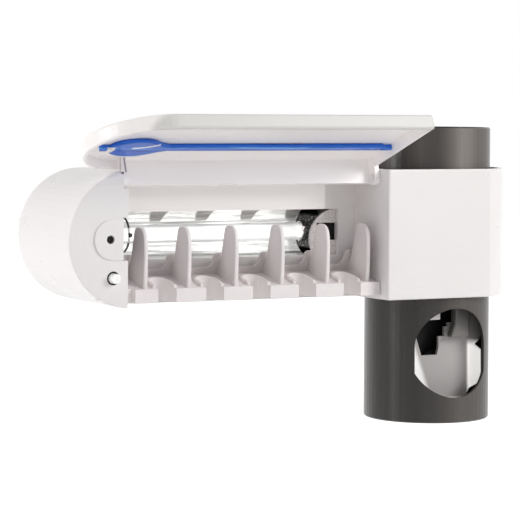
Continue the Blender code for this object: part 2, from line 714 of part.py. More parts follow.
def board_posts():
    inset = BOARD_POST_RADIUS * 2
    middle_y = (BOARD_FRONT_Y + BOARD_BACK_Y) / 2
    return [(BOARD_LEFT_X + inset, middle_y), (BOARD_RIGHT_X - inset, middle_y)]


# Tray with five slots and six fins
def fin_outline():
    """One fin in (y, z)."""
    back = PANEL_Y - REST_GAP
    front = FACE_Y + FIN_FRONT_SETBACK
    points = [(back + (front - back) * d, FIN_FOOT_Z + FIN_HEIGHT * h) for d, h in FIN_OUTLINE_shares]
    return smooth(points, 2)


def tray_side(rise=0.0):
    """The tray's base in (y, z), with its top raised."""
    back = PANEL_Y - REST_GAP
    return [(FACE_Y, TRAY_BOTTOM_Z), (FACE_Y, TRAY_FRONT_TOP_Z),
            (FACE_Y + TRAY_SLOPE_START, TRAY_FRONT_TOP_Z + rise), (back, TRAY_BACK_TOP_Z + rise),
            (back, TRAY_BOTTOM_Z)]


def slot_outline(x, grow=0.0, front=FACE_Y - CUT_OVERRUN):
    """A brush slot in (x, y): open at the front, round at the rear."""
    half = SLOT_WIDTH / 2
    rear = (x, FACE_Y + SLOT_DEPTH - half)
    return [(x + half + grow, front), *arc(rear, half + grow, 0.0, math.pi, CORNER_STEPS * 2),
            (x - half - grow, front)]


def make_tray():
    left = CHAMBER_LEFT_X + REST_GAP
    right = CHAMBER_RIGHT_X - REST_GAP
    back = PANEL_Y - REST_GAP
    tray = prism("comb_tray", tray_side(), "X", left, right)
    round_edges(tray, FIN_ROUND / 2, 1)
    add_comb_wall(tray, left, right, back)
    for number, x in enumerate(fin_places()):
        fin = prism(f"fin_{number}", fin_outline(), "X", x - FIN_THICKNESS / 2, x + FIN_THICKNESS / 2)
        round_edges(fin, FIN_ROUND, 2)
        join(tray, fin)
    for number, x in enumerate(slot_places()):
        add_slot_rim(tray, number, x)
    for number, x in enumerate(slot_places()):
        cut(tray, prism(f"slot_{number}", slot_outline(x), "Z", TRAY_BOTTOM_Z - CUT_OVERRUN, FIN_TOP_Z))
    cut(tray, box("end_recess", (left - CUT_OVERRUN, FACE_Y - CUT_OVERRUN, TRAY_BOTTOM_Z - CUT_OVERRUN),
                  (END_LUG_LEFT_X, FACE_Y + END_RECESS_DEPTH, FIN_TOP_Z)))
    hollow_tray(tray, left, right, back)
    middle_z = (TRAY_BOTTOM_Z + TRAY_BACK_TOP_Z) / 2
    for number, x in enumerate(tray_tabs()):
        join(tray, box(f"tab_{number}",
                       (x - TRAY_TAB_WIDTH / 2, back - TRAY_WALL / 2, middle_z - TRAY_TAB_THICKNESS / 2),
                       (x + TRAY_TAB_WIDTH / 2, PANEL_Y + PANEL_WALL + TRAY_TAB_REACH,
                        middle_z + TRAY_TAB_THICKNESS / 2)))
    return tray


def add_slot_rim(tray, number, x):
    """The raised rim round the rear of a slot, which follows the tray's slope."""
    front = FACE_Y + TRAY_SLOPE_START
    outline = slot_outline(x, SLOT_RIM_WIDTH, front)
    rim = prism(f"slot_rim_{number}", outline, "Z", FIN_FOOT_Z, COMB_WALL_TOP_Z)
    reach = SLOT_WIDTH + SLOT_RIM_WIDTH
    keep_within(rim, prism(f"rim_slope_{number}", tray_side(SLOT_RIM_HEIGHT), "X", x - reach, x + reach))
    round_edges(rim, SLOT_RIM_WIDTH / 4, 1)
    join(tray, rim)


def scoop_outline(left, right):
    """A scoop in (x, z): round at its foot, flared at its top."""
    quarter = math.pi / 2
    flare_z = COMB_WALL_TOP_Z - SCOOP_FLARE
    foot_z = SCOOP_BOTTOM_Z + SCOOP_CORNER
    top = COMB_WALL_TOP_Z + CUT_OVERRUN
    return [
        (left - SCOOP_FLARE, top),
        *arc((left - SCOOP_FLARE, flare_z), SCOOP_FLARE, quarter, 0.0, CORNER_STEPS),
        *arc((left + SCOOP_CORNER, foot_z), SCOOP_CORNER, 2 * quarter, 3 * quarter, CORNER_STEPS),
        *arc((right - SCOOP_CORNER, foot_z), SCOOP_CORNER, -quarter, 0.0, CORNER_STEPS),
        *arc((right + SCOOP_FLARE, flare_z), SCOOP_FLARE, 2 * quarter, quarter, CORNER_STEPS),
        (right + SCOOP_FLARE, top),
    ]


def add_comb_wall(tray, left, right, back):
    """The low wall behind the fins, which leans forward, with a scoop behind each brush."""
    foot = TRAY_BOTTOM_Z + TRAY_WALL
    front = back - TRAY_WALL
    side = [(back, foot), (front, foot), (front - COMB_WALL_LEAN, COMB_WALL_TOP_Z),
            (back - COMB_WALL_LEAN, COMB_WALL_TOP_Z)]
    wall = prism("comb_wall", side, "X", left, right)
    fins = fin_places()
    for number, (a, b) in enumerate(zip(fins, fins[1:])):
        scoop = scoop_outline(a + SCOOP_MARGIN, b - SCOOP_MARGIN)
        cut(wall, prism(f"scoop_{number}", scoop, "Y", front - COMB_WALL_LEAN - CUT_OVERRUN,
                        back + CUT_OVERRUN))
    round_edges(wall, FIN_ROUND / 2, 1)
    join(tray, wall)


def hollow_tray(tray, left, right, back):
    """Pockets under the lugs, so that the tray is a moulded shell."""
    edges = [left, *[x + s * SLOT_WIDTH / 2 for x in slot_places() for s in (-1, 1)], right]
    for number in range(SLOT_COUNT + 1):
        low, high = edges[2 * number] + TRAY_WALL, edges[2 * number + 1] - TRAY_WALL
        cut(tray, box(f"pocket_{number}",
                      (low, FACE_Y + END_RECESS_DEPTH + TRAY_WALL, TRAY_BOTTOM_Z - CUT_OVERRUN),
                      (high, back - TRAY_WALL, TRAY_FRONT_TOP_Z - TRAY_WALL)))


# Lid with its hinge arms, rim and lens
def lens_outline(shrink):
    """The lens in (x, z): a bulb that runs into a long rod."""
    length = LENS_BULB_RIGHT_X - LENS_BULB_LEFT_X
    upper = []
    for along, half in LENS_BULB_shares:
        centred = along - (along - 0.5) * 2 * shrink / length
        height = max(half * LENS_BULB_HALF - shrink * min(1.0, 4 * along), 0.0)
        upper.append((LENS_BULB_LEFT_X + centred * length, height))
    upper = smooth(upper, 2)
    rod_half = LENS_ROD_HALF - shrink
    upper = [(x, z) for x, z in upper if x < LENS_BULB_RIGHT_X - shrink - REST_GAP]
    upper.append((LENS_BULB_RIGHT_X, rod_half))
    end = LENS_RIGHT_X - shrink
    upper += [(end - rod_half, rod_half), (end, rod_half / 2)]
    lower = [(x, -z) for x, z in reversed(upper) if z > 0.0]
    return [(x, LENS_Z + z) for x, z in upper + lower]


def arm_outline(lip_y):
    """A hinge arm in (y, z): a bar that ends in a round eye on the hinge axis."""
    eye = arc((HINGE_Y, HINGE_Z), ARM_END_RADIUS, -math.pi / 2, math.pi / 2, CORNER_STEPS)
    return [(lip_y, HINGE_Z - ARM_END_RADIUS), *eye, (lip_y, HINGE_Z + ARM_END_RADIUS)]


def make_lid():
    top = HALF_HEIGHT - LID_INSET
    right = CHAMBER_RIGHT_X - REST_GAP
    lid = prism("lid_shell", bullet(LID_INSET, right), "Y", LID_FRONT_Y, LID_RIM_LIP_Y)
    round_edges(lid, LID_EDGE)
    floor = LID_FRONT_Y + LID_WALL
    cut(lid, prism("lid_space", bullet(LID_INSET + LID_WALL, right - LID_WALL), "Y",
                   floor, LID_RIM_LIP_Y + CUT_OVERRUN))
    left_rim = LEFT_ARM_X + REST_GAP
    band = box("hinge_rim", (left_rim, floor - LID_WALL / 2, top - LID_WALL), (right, LID_HINGE_RIM_Y, top))
    join(lid, band)
    for name, low in (("left_arm", LEFT_ARM_X), ("right_arm", right - ARM_WIDTH)):
        join(lid, prism(name, arm_outline(floor - LID_WALL / 2), "X", low, low + ARM_WIDTH))
        cut(lid, rod(name + "_hole", "X", (HINGE_Y, HINGE_Z), HINGE_PIN_RADIUS + RUN_GAP,
                     low - CUT_OVERRUN, low + ARM_WIDTH + CUT_OVERRUN))
    cut(lid, box("lip_relief",
                 (LID_RELIEF_LEFT_X, LID_RIM_LIP_Y - LID_RELIEF_DEPTH, HINGE_Z - ARM_END_RADIUS),
                 (LEFT_ARM_X, LID_RIM_LIP_Y + CUT_OVERRUN, HALF_HEIGHT + CUT_OVERRUN)))
    cut(lid, prism("lens_hole", lens_outline(LENS_PLUG_STEP - REST_GAP), "Y",
                   LID_FRONT_Y - CUT_OVERRUN, floor + CUT_OVERRUN))
    return lid


def make_lens():
    floor = LID_FRONT_Y + LID_WALL
    lens = prism("lid_lens", lens_outline(0.0), "Y", floor + REST_GAP, floor + LENS_STAND)
    round_edges(lens, LENS_EDGE)
    join(lens, prism("lens_plug", lens_outline(LENS_PLUG_STEP), "Y", LID_FRONT_Y + REST_GAP,
                     floor + LENS_STAND / 2))
    for name, start, direction, length in (
            ("left_clip", LENS_BULB_LEFT_X, -1, LENS_LEFT_CLIP_LENGTH),
            ("right_clip", LENS_RIGHT_X, 1, LENS_RIGHT_CLIP_LENGTH)):
        ends = sorted((start - direction * LENS_CLIP_WIDTH, start + direction * length))
        join(lens, box(name, (ends[0], floor + REST_GAP, LENS_Z - LENS_CLIP_WIDTH / 2),
                       (ends[1], floor + LENS_STAND + REST_GAP, LENS_Z + LENS_CLIP_WIDTH / 2)))
    return lens


def make_hinge_pins():
    """Two headed pins, pushed from the arms into the box."""
    right = CHAMBER_RIGHT_X - REST_GAP
    places = (
        ("hinge_pin_left", LEFT_ARM_X + ARM_WIDTH + REST_GAP, -1,
         ARM_WIDTH + 2 * REST_GAP + HINGE_PIN_REACH - REST_GAP),
        ("hinge_pin_right", right - ARM_WIDTH - REST_GAP, 1, ARM_WIDTH + 2 * REST_GAP + HINGE_PIN_REACH),
    )
    pins = []
    for name, start, direction, length in places:
        ends = sorted((start, start + direction * length))
        pin = rod(name, "X", (HINGE_Y, HINGE_Z), HINGE_PIN_RADIUS, *ends)
        head = sorted((start + direction * HINGE_PIN_RADIUS / 4, start - direction * HINGE_PIN_HEAD_LENGTH))
        head[0 if direction < 0 else 1] = start
        join(pin, rod(name + "_head", "X", (HINGE_Y, HINGE_Z), HINGE_PIN_HEAD, *head))
        pins.append(pin)
    return pins


# Dispenser tube and the squeezer in it
def make_tube():
    inner = TUBE_RADIUS - TUBE_WALL
    flange_low = GUIDE_TOP_Z + REST_GAP
    flange_top = flange_low + TUBE_FLANGE_THICKNESS
    flange = TUBE_RADIUS + TUBE_FLANGE_REACH
    lip_top = TUBE_BOTTOM_Z + TUBE_EDGE + TUBE_LIP_THICKNESS
    profile = [
        (TUBE_RADIUS - TUBE_EDGE, TUBE_TOP_Z), (TUBE_RADIUS, TUBE_TOP_Z - TUBE_EDGE),
        (TUBE_RADIUS, flange_top), (flange, flange_top), (flange, flange_low), (TUBE_RADIUS, flange_low),
        (TUBE_RADIUS, TUBE_BOTTOM_Z + TUBE_EDGE), (TUBE_RADIUS - TUBE_EDGE, TUBE_BOTTOM_Z),
        (inner - TUBE_LIP_REACH, TUBE_BOTTOM_Z), (inner - TUBE_LIP_REACH, lip_top), (inner, lip_top),
        (inner, TUBE_TOP_Z),
    ]
    tube = turned("dispenser_tube", profile, (TUBE_X, TUBE_Y))
    front = SLEEVE_FRONT_Y + SLEEVE_WALL + REST_GAP
    back = SLEEVE_BACK_Y - SLEEVE_WALL - REST_GAP
    for name, near, far in (("front_flat", front, front - flange), ("back_flat", back, back + flange)):
        low, high = sorted((near, far))
        cut(tube, box(name, (TUBE_X - flange, low, flange_low - CUT_OVERRUN),
                      (TUBE_X + flange, high, flange_top + CUT_OVERRUN)))
    cut(tube, prism("brush_window", window_outline(), "Y", TUBE_Y - TUBE_RADIUS - CUT_OVERRUN, TUBE_Y))
    return tube


def window_outline():
    """The brush window in (x, z): a half circle above, a wider arc below."""
    x = TUBE_X + BRUSH_WINDOW_SHIFT
    half = BRUSH_WINDOW_WIDTH / 2
    crown = arc((x, BRUSH_WINDOW_CROWN_Z), half, 0.0, math.pi, ARC_STEPS)
    start = math.acos(half / BRUSH_WINDOW_FOOT_RADIUS)
    foot = arc((x, BRUSH_WINDOW_CROWN_Z - BRUSH_WINDOW_FOOT_DROP), BRUSH_WINDOW_FOOT_RADIUS,
               math.pi + start, 2 * math.pi - start, ARC_STEPS)
    return crown + foot


def frame_foot():
    """The height that the squeezer's carrier stands at, on the tube's lip."""
    return TUBE_BOTTOM_Z + TUBE_EDGE + TUBE_LIP_THICKNESS + REST_GAP


def make_frame():
    """The dark carrier that fills the back of the tube and holds the squeezer."""
    radius = TUBE_RADIUS - TUBE_WALL - REST_GAP
    foot = frame_foot()
    frame = rod("squeezer_frame", "Z", (TUBE_X, TUBE_Y), radius, foot, FRAME_TOP_Z, ROUND_STEPS)
    cut(frame, box("frame_front", (TUBE_X - TUBE_RADIUS, TUBE_Y - TUBE_RADIUS, foot + FRAME_WALL),
                   (TUBE_X + TUBE_RADIUS, FRAME_FRONT_Y, FRAME_TOP_Z - FRAME_WALL)))
    cut(frame, rod("frame_space", "Z", (TUBE_X, TUBE_Y), radius - FRAME_WALL, foot - CUT_OVERRUN,
                   FRAME_TOP_Z - FRAME_WALL, SMALL_ROUND_STEPS))
    web_half = math.sqrt(radius ** 2 - (TUBE_Y - FRAME_FRONT_Y) ** 2) - FRAME_WALL / 2
    join(frame, box("frame_web", (TUBE_X - web_half, FRAME_FRONT_Y, foot),
                    (TUBE_X + web_half, FRAME_FRONT_Y + FRAME_WALL, FRAME_TOP_Z - FRAME_WALL / 2)))
    for name, side in (("left_ear", -1), ("right_ear", 1)):
        centre = TUBE_X + side * FRAME_EAR_X
        half = FRAME_EAR_THICKNESS / 2
        ear = box(name, (centre - half, PADDLE_PIN_Y - PADDLE_HUB_RADIUS, foot),
                  (centre + half, FRAME_FRONT_Y + FRAME_WALL / 2, foot + FRAME_EAR_HEIGHT))
        join(frame, ear)
    ear_reach = FRAME_EAR_X + FRAME_EAR_THICKNESS
    cut(frame, rod("pin_way", "X", (PADDLE_PIN_Y, PADDLE_PIN_Z), PADDLE_PIN_RADIUS + RUN_GAP,
                   TUBE_X - ear_reach, TUBE_X + ear_reach))
    cut(frame, rod("paste_way", "Z", (TUBE_X, TUBE_Y), SOCKET_BORE, FRAME_TOP_Z - FRAME_WALL - CUT_OVERRUN,
                   FRAME_TOP_Z + CUT_OVERRUN))
    return frame


def tube_place(x_share, forward_share):
    """A point in (x, y) given as shares of the tube's radius, right and forward of its axis."""
    return TUBE_X + TUBE_RADIUS * x_share, TUBE_Y - TUBE_RADIUS * forward_share


def make_nozzle():
    """The pale block at the top right of the window that the paste leaves from."""
    top = FRAME_TOP_Z - FRAME_WALL - REST_GAP
    left, front = tube_place(NOZZLE_LEFT_share, NOZZLE_FRONT_share)
    right, back = tube_place(NOZZLE_RIGHT_share, NOZZLE_BACK_share)
    flare = tube_place(NOZZLE_FLARE_share, NOZZLE_BACK_share)[0]
    outline = [(left, top), (left, NOZZLE_SHOULDER_Z), (flare, NOZZLE_BOTTOM_Z), (right, NOZZLE_BOTTOM_Z),
               (right, top)]
    nozzle = prism("nozzle_block", outline, "Y", front, back)
    round_edges(nozzle, NOZZLE_BEVEL)
    cut(nozzle, rod("nozzle_bore", "Z", ((left + right) / 2, (front + back) / 2), NOZZLE_BORE,
                    NOZZLE_BOTTOM_Z - CUT_OVERRUN, (NOZZLE_BOTTOM_Z + top) / 2))
    return nozzle


def make_ledge():
    """The pale plate that hangs at the top left of the window."""
    left, front = tube_place(LEDGE_LEFT_share, LEDGE_FRONT_share)
    right = tube_place(LEDGE_RIGHT_share, LEDGE_FRONT_share)[0]
    ledge = box("squeezer_ledge", (left, front, LEDGE_BOTTOM_Z),
                (right, front + LEDGE_THICKNESS, FRAME_TOP_Z - FRAME_WALL - REST_GAP))
    round_edges(ledge, LEDGE_THICKNESS / 4)
    return ledge


def paddle_section(shares, lean):
    """The scoop's cross-section in (x, y): a flat back with two wings that come forward."""
    inner = [tube_place(*share) for share in shares]
    inner = [(x, y - lean) for x, y in inner]
    side = PADDLE_THICKNESS / 2
    shifts = ((-side, side), (-side, PADDLE_THICKNESS), (side, PADDLE_THICKNESS), (side, side))
    outer = [(x + dx, y + dy) for (x, y), (dx, dy) in zip(inner, shifts)]
    return inner + outer[::-1]


def fold_x(z):
    """The x just right of the fold between the scoop's floor and its left wing."""
    along = (z - PADDLE_PIN_Z) / (PADDLE_TOP_Z - PADDLE_PIN_Z)
    foot, top = PADDLE_FOOT_shares[1][0], PADDLE_TOP_shares[1][0]
    return TUBE_X + TUBE_RADIUS * (foot + (top - foot) * along) + REST_GAP


def make_paddle():
    """The white scoop that a brush pushes back, hinged at its foot."""
    paddle = loft("push_paddle", paddle_section(PADDLE_FOOT_shares, PADDLE_FOOT_LEAN),
                  paddle_section(PADDLE_TOP_shares, 0.0), PADDLE_PIN_Z, PADDLE_TOP_Z)
    front, back = TUBE_Y - TUBE_RADIUS, FRAME_FRONT_Y
    above = PADDLE_TOP_Z + CUT_OVERRUN
    floor_height = PADDLE_FLOOR_TOP_Z - PADDLE_STEP_Z
    stairs = [(TUBE_X + TUBE_RADIUS * x, PADDLE_STEP_Z + floor_height * z) for x, z in PADDLE_STAIR_shares]
    right = tube_place(PADDLE_TOP_shares[2][0], 0.0)[0] - REST_GAP
    opening = [(fold_x(PADDLE_STEP_Z), PADDLE_STEP_Z), *stairs, (right, PADDLE_FLOOR_TOP_Z), (right, above),
               (TUBE_X - TUBE_RADIUS, above), (TUBE_X - TUBE_RADIUS, PADDLE_FLOOR_TOP_Z),
               (fold_x(PADDLE_FLOOR_TOP_Z), PADDLE_FLOOR_TOP_Z)]
    cut(paddle, prism("paddle_opening", opening, "Y", front, back))
    notch_y = tube_place(0.0, PADDLE_NOTCH_share)[1]
    cut(paddle, prism("wing_notch", [(front, PADDLE_NOTCH_TOP_Z), (notch_y, PADDLE_NOTCH_Z),
                                     (front, PADDLE_NOTCH_FOOT_Z)], "X", TUBE_X, TUBE_X + TUBE_RADIUS))
    trim_z = frame_foot() + FRAME_EAR_HEIGHT + REST_GAP
    for name, side in (("left_trim", -1), ("right_trim", 1)):
        edge, far = TUBE_X + side * PADDLE_HUB_HALF, TUBE_X + side * TUBE_RADIUS
        wide = TUBE_X + side * TUBE_RADIUS * PADDLE_TRIM_share
        corner = [(wide, PADDLE_TRIM_Z), (edge, trim_z), (edge, PADDLE_PIN_Z - CUT_OVERRUN),
                  (far, PADDLE_PIN_Z - CUT_OVERRUN), (far, PADDLE_TRIM_Z)]
        cut(paddle, prism(name, corner, "Y", front, back))
    join(paddle, rod("paddle_hub", "X", (PADDLE_PIN_Y, PADDLE_PIN_Z), PADDLE_HUB_RADIUS,
                     TUBE_X - PADDLE_HUB_HALF, TUBE_X + PADDLE_HUB_HALF))
    cut(paddle, rod("hub_bore", "X", (PADDLE_PIN_Y, PADDLE_PIN_Z), PADDLE_PIN_RADIUS + RUN_GAP,
                    TUBE_X - PADDLE_HUB_HALF - CUT_OVERRUN, TUBE_X + PADDLE_HUB_HALF + CUT_OVERRUN))
    return paddle


def make_paddle_pin():
    reach = FRAME_EAR_X + FRAME_EAR_THICKNESS / 2
    return rod("paddle_pin", "X", (PADDLE_PIN_Y, PADDLE_PIN_Z), PADDLE_PIN_RADIUS,
               TUBE_X - reach, TUBE_X + reach)


def make_paste_socket():
    """The soft ring that grips the neck of a paste tube set upside down."""
    low = FRAME_TOP_Z + REST_GAP
    top = low + SOCKET_HEIGHT
    bore_top = low + SOCKET_HEIGHT / 2
    profile = [(SOCKET_RADIUS - SOCKET_LIP, top), (SOCKET_RADIUS - SOCKET_LIP, low + 2 * SOCKET_LIP),
               (SOCKET_RADIUS, low + SOCKET_LIP), (SOCKET_RADIUS, low), (SOCKET_BORE, low),
               (SOCKET_BORE, bore_top), (SOCKET_BORE + SOCKET_LIP, top)]
    return turned("paste_socket", profile, (TUBE_X, TUBE_Y))


def make_diaphragm():
    """The rubber pump cone between the paddle and its frame."""
    floor_y = tube_place(*PADDLE_TOP_shares[1])[1]
    return rod("pump_diaphragm", "Y", (TUBE_X, DIAPHRAGM_Z), DIAPHRAGM_RADIUS * DIAPHRAGM_CROWN_share,
               floor_y + PADDLE_THICKNESS + REST_GAP, FRAME_FRONT_Y - REST_GAP,
               SMALL_ROUND_STEPS, top_radius=DIAPHRAGM_RADIUS)


# Lamp group
def make_reflector():
    """A bright curved trough behind the lamp, in (y, z), open to the window."""
    rim_y = PANEL_Y + PANEL_WALL + REST_GAP
    half = (WINDOW_TOP_Z - WINDOW_BOTTOM_Z) / 2 + REFLECTOR_FLANGE
    curve = []
    for i in range(REFLECTOR_CURVE_STEPS + 1):
        t = math.pi * i / REFLECTOR_CURVE_STEPS
        depth = max(math.sin(t), 0.0) ** REFLECTOR_FULLNESS_share * REFLECTOR_DEPTH
        curve.append((rim_y + depth, LAMP_Z + (half - REFLECTOR_FLANGE / 2) * math.cos(t)))
    outer = [(y + REFLECTOR_SHEET, LAMP_Z + (z - LAMP_Z) * (1 + REFLECTOR_SHEET / half)) for y, z in curve]
    edge = half + REFLECTOR_FLANGE
    top, foot = LAMP_Z + edge, LAMP_Z - edge
    trough = [(rim_y, top), *curve, (rim_y, foot), (rim_y + REFLECTOR_SHEET, foot), *reversed(outer),
              (rim_y + REFLECTOR_SHEET, top)]
    right = LAMP_RIGHT_X + CAP_LENGTH / 2
    return prism("reflector", trough, "X", CHAMBER_LEFT_X + REFLECTOR_FLANGE, right)


def make_lamp():
    """The glass tube and its two end caps."""
    axis = (LAMP_Y, LAMP_Z)
    glass = rod("uv_lamp_tube", "X", axis, LAMP_RADIUS, LAMP_LEFT_X, LAMP_RIGHT_X)
    left = rod("lamp_cap_left", "X", axis, LAMP_RADIUS + CAP_SKIRT,
               LAMP_LEFT_X - REST_GAP - CAP_LENGTH, LAMP_LEFT_X - REST_GAP)
    right = rod("lamp_cap_right", "X", axis, LAMP_RADIUS + CAP_SKIRT,
                LAMP_RIGHT_X + REST_GAP, LAMP_RIGHT_X + REST_GAP + CAP_LENGTH)
    return glass, left, right


def make_lamp_sockets():
    """Two dark holders that the lamp's caps stand in."""
    made = []
    starts = (("lamp_socket_left", LAMP_LEFT_X - REST_GAP - CAP_LENGTH - LAMP_SOCKET_LENGTH / 2, 1),
              ("lamp_socket_right", LAMP_RIGHT_X + REST_GAP + CAP_LENGTH + LAMP_SOCKET_LENGTH / 2, -1))
    for name, outer, direction in starts:
        ends = sorted((outer, outer + direction * LAMP_SOCKET_LENGTH))
        socket = box(name, (ends[0], LAMP_Y - LAMP_SOCKET_HALF_DEPTH, LAMP_Z - LAMP_SOCKET_HALF),
                     (ends[1], BRACKET_FRONT_Y - REST_GAP, LAMP_Z + LAMP_SOCKET_HALF))
        round_edges(socket, EDGE_ROUND, 1)
        seat = sorted((outer + direction * LAMP_SOCKET_LENGTH / 2 - direction * REST_GAP,
                       outer + direction * (LAMP_SOCKET_LENGTH + CUT_OVERRUN)))
        cut(socket, rod(name + "_seat", "X", (LAMP_Y, LAMP_Z), LAMP_RADIUS + CAP_SKIRT + REST_GAP, *seat))
        made.append(socket)
    return made


def make_bracket():
    """The plate behind the reflector that carries the lamp group on four posts."""
    left = LAMP_LEFT_X - CAP_LENGTH - LAMP_SOCKET_LENGTH
    right = SHIELD_X + SHIELD_LEG_WIDTH / 2
    back = BRACKET_FRONT_Y + BRACKET_THICKNESS
    bracket = box("lamp_bracket", (left, BRACKET_FRONT_Y, LAMP_Z - BRACKET_HALF_HEIGHT),
                  (right, back, LAMP_Z + BRACKET_HALF_HEIGHT))
    cover_front = BACK_Y - COVER_THICKNESS
    inset = BRACKET_POST_RADIUS * 2
    rise = BRACKET_HALF_HEIGHT - inset
    places = [(x, LAMP_Z + side * rise) for x in (left + inset, right - inset) for side in (1, -1)]
    for number, place in enumerate(places):
        join(bracket, rod(f"bracket_post_{number}", "Y", place, BRACKET_POST_RADIUS,
                          BRACKET_FRONT_Y + BRACKET_THICKNESS / 2, cover_front - REST_GAP))
    return bracket


def make_shield():
    """The round white shield that closes the lamp space at the right of the window."""
    front = PANEL_Y + PANEL_WALL + REST_GAP
    back = front + SHIELD_THICKNESS
    limit = CHAMBER_RIGHT_X - REST_GAP
    stop = math.acos((limit - SHIELD_X) / SHIELD_RADIUS)
    outline = arc((SHIELD_X, SHIELD_Z), SHIELD_RADIUS, stop, 2 * math.pi - stop, ARC_STEPS)
    shield = prism("lamp_shield", outline, "Y", front, back)
    cut(shield, box("shield_slot", (SHIELD_SLOT_LEFT_X, front - CUT_OVERRUN, SHIELD_SLOT_BOTTOM_Z),
                    (SHIELD_X, back + CUT_OVERRUN, SHIELD_SLOT_TOP_Z)))
    leg_low = SHIELD_Z - SHIELD_RADIUS + SHIELD_THICKNESS
    half = SHIELD_LEG_WIDTH / 2
    join(shield, box("shield_leg", (SHIELD_X - half, front + SHIELD_THICKNESS / 2, leg_low),
                     (SHIELD_X + half, BRACKET_FRONT_Y - REST_GAP, leg_low + SHIELD_THICKNESS)))
    return shield


# Interlock
def make_button():
    plate_back = FACE_Y + BOX_WALL
    flange_front = plate_back + REST_GAP
    flange_back = flange_front + BUTTON_FLANGE_THICKNESS
    stem_end = SWITCH_FRONT_Y - BUTTON_TRAVEL - REST_GAP
    button = rod("interlock_button", "Y", (BUTTON_X, BUTTON_Z), BUTTON_RADIUS, FACE_Y - BUTTON_PROUD,
                 flange_front + BUTTON_FLANGE_THICKNESS / 2)
    round_edges(button, BUTTON_TIP_ROUND)
    join(button, rod("button_flange", "Y", (BUTTON_X, BUTTON_Z), BUTTON_FLANGE_RADIUS,
                     flange_front, flange_back))
    join(button, rod("button_stem", "Y", (BUTTON_X, BUTTON_Z), BUTTON_STEM_RADIUS,
                     flange_back - BUTTON_FLANGE_THICKNESS / 2, stem_end))
    return button


def make_spring():
    """The button's return spring, one unbroken coil round the stem."""
    start = FACE_Y + BOX_WALL + REST_GAP + BUTTON_FLANGE_THICKNESS + REST_GAP + SPRING_WIRE
    end = SWITCH_FRONT_Y - REST_GAP - SPRING_WIRE
    count = SPRING_TURNS * SPRING_POINTS_PER_TURN
    points = []
    for i in range(count + 1):
        turn = 2 * math.pi * i / SPRING_POINTS_PER_TURN
        points.append((BUTTON_X + SPRING_RADIUS * math.cos(turn), start + (end - start) * i / count,
                       BUTTON_Z + SPRING_RADIUS * math.sin(turn)))
    pitch_gap = (end - start) / SPRING_TURNS - 2 * SPRING_WIRE
    print(f"button spring: least gap between turns {pitch_gap * 1000:.2f} mm")
    curve = bpy.data.curves.new("button_spring", "CURVE")
    curve.dimensions = "3D"
    curve.bevel_depth = SPRING_WIRE
    curve.bevel_resolution = 1
    curve.use_fill_caps = True
    spline = curve.splines.new("POLY")
    spline.points.add(len(points) - 1)
    for point, place in zip(spline.points, points):
        point.co = (*place, 1.0)
    made = bpy.data.objects.new("button_spring", curve)
    PARTS.objects.link(made)
    return made


def make_switch():
    return box("micro_switch",
               (BUTTON_X - SWITCH_HALF_WIDTH, SWITCH_FRONT_Y, BUTTON_Z - SWITCH_HALF_HEIGHT),
               (BUTTON_X + SWITCH_HALF_WIDTH, SWITCH_FRONT_Y + SWITCH_DEPTH, BUTTON_Z + SWITCH_HALF_HEIGHT))


# Electronics
def make_board():
    return box("circuit_board", (BOARD_LEFT_X, BOARD_FRONT_Y, BOARD_Z),
               (BOARD_RIGHT_X, BOARD_BACK_Y, BOARD_Z + BOARD_THICKNESS))


def make_board_parts():
    seat = BOARD_Z + BOARD_THICKNESS + REST_GAP
    middle_y = (BOARD_FRONT_Y + BOARD_BACK_Y) / 2
    block = box("transformer",
                (TRANSFORMER_X - TRANSFORMER_WIDTH / 2, middle_y - TRANSFORMER_DEPTH / 2, seat),
                (TRANSFORMER_X + TRANSFORMER_WIDTH / 2, middle_y + TRANSFORMER_DEPTH / 2,
                 seat + TRANSFORMER_HEIGHT))
    round_edges(block, EDGE_ROUND, 1)
    cans = [rod(f"capacitor_{number + 1}", "Z", (CAPACITOR_X + number * CAPACITOR_SPACING, middle_y),
                CAPACITOR_RADIUS, seat, seat + CAPACITOR_HEIGHT) for number in range(2)]
    return block, cans


def make_inlet():
    """The low-voltage socket in the floor of the box."""
    mouth = -HALF_HEIGHT
    top = mouth + INLET_DEPTH
    seat = mouth + BOX_WALL + REST_GAP
    flange = INLET_RADIUS + INLET_FLANGE
    profile = [(0.0, top), (INLET_RADIUS, top), (INLET_RADIUS, seat + INLET_FLANGE),
               (flange, seat + INLET_FLANGE), (flange, seat), (INLET_RADIUS, seat), (INLET_RADIUS, mouth),
               (INLET_BORE, mouth), (INLET_BORE, top - INLET_FLANGE), (INLET_PIN, top - INLET_FLANGE),
               (INLET_PIN, mouth + INLET_FLANGE), (0.0, mouth + INLET_FLANGE)]
    return turned("power_inlet", profile, (INLET_X, INLET_Y), SMALL_ROUND_STEPS, closed=False)


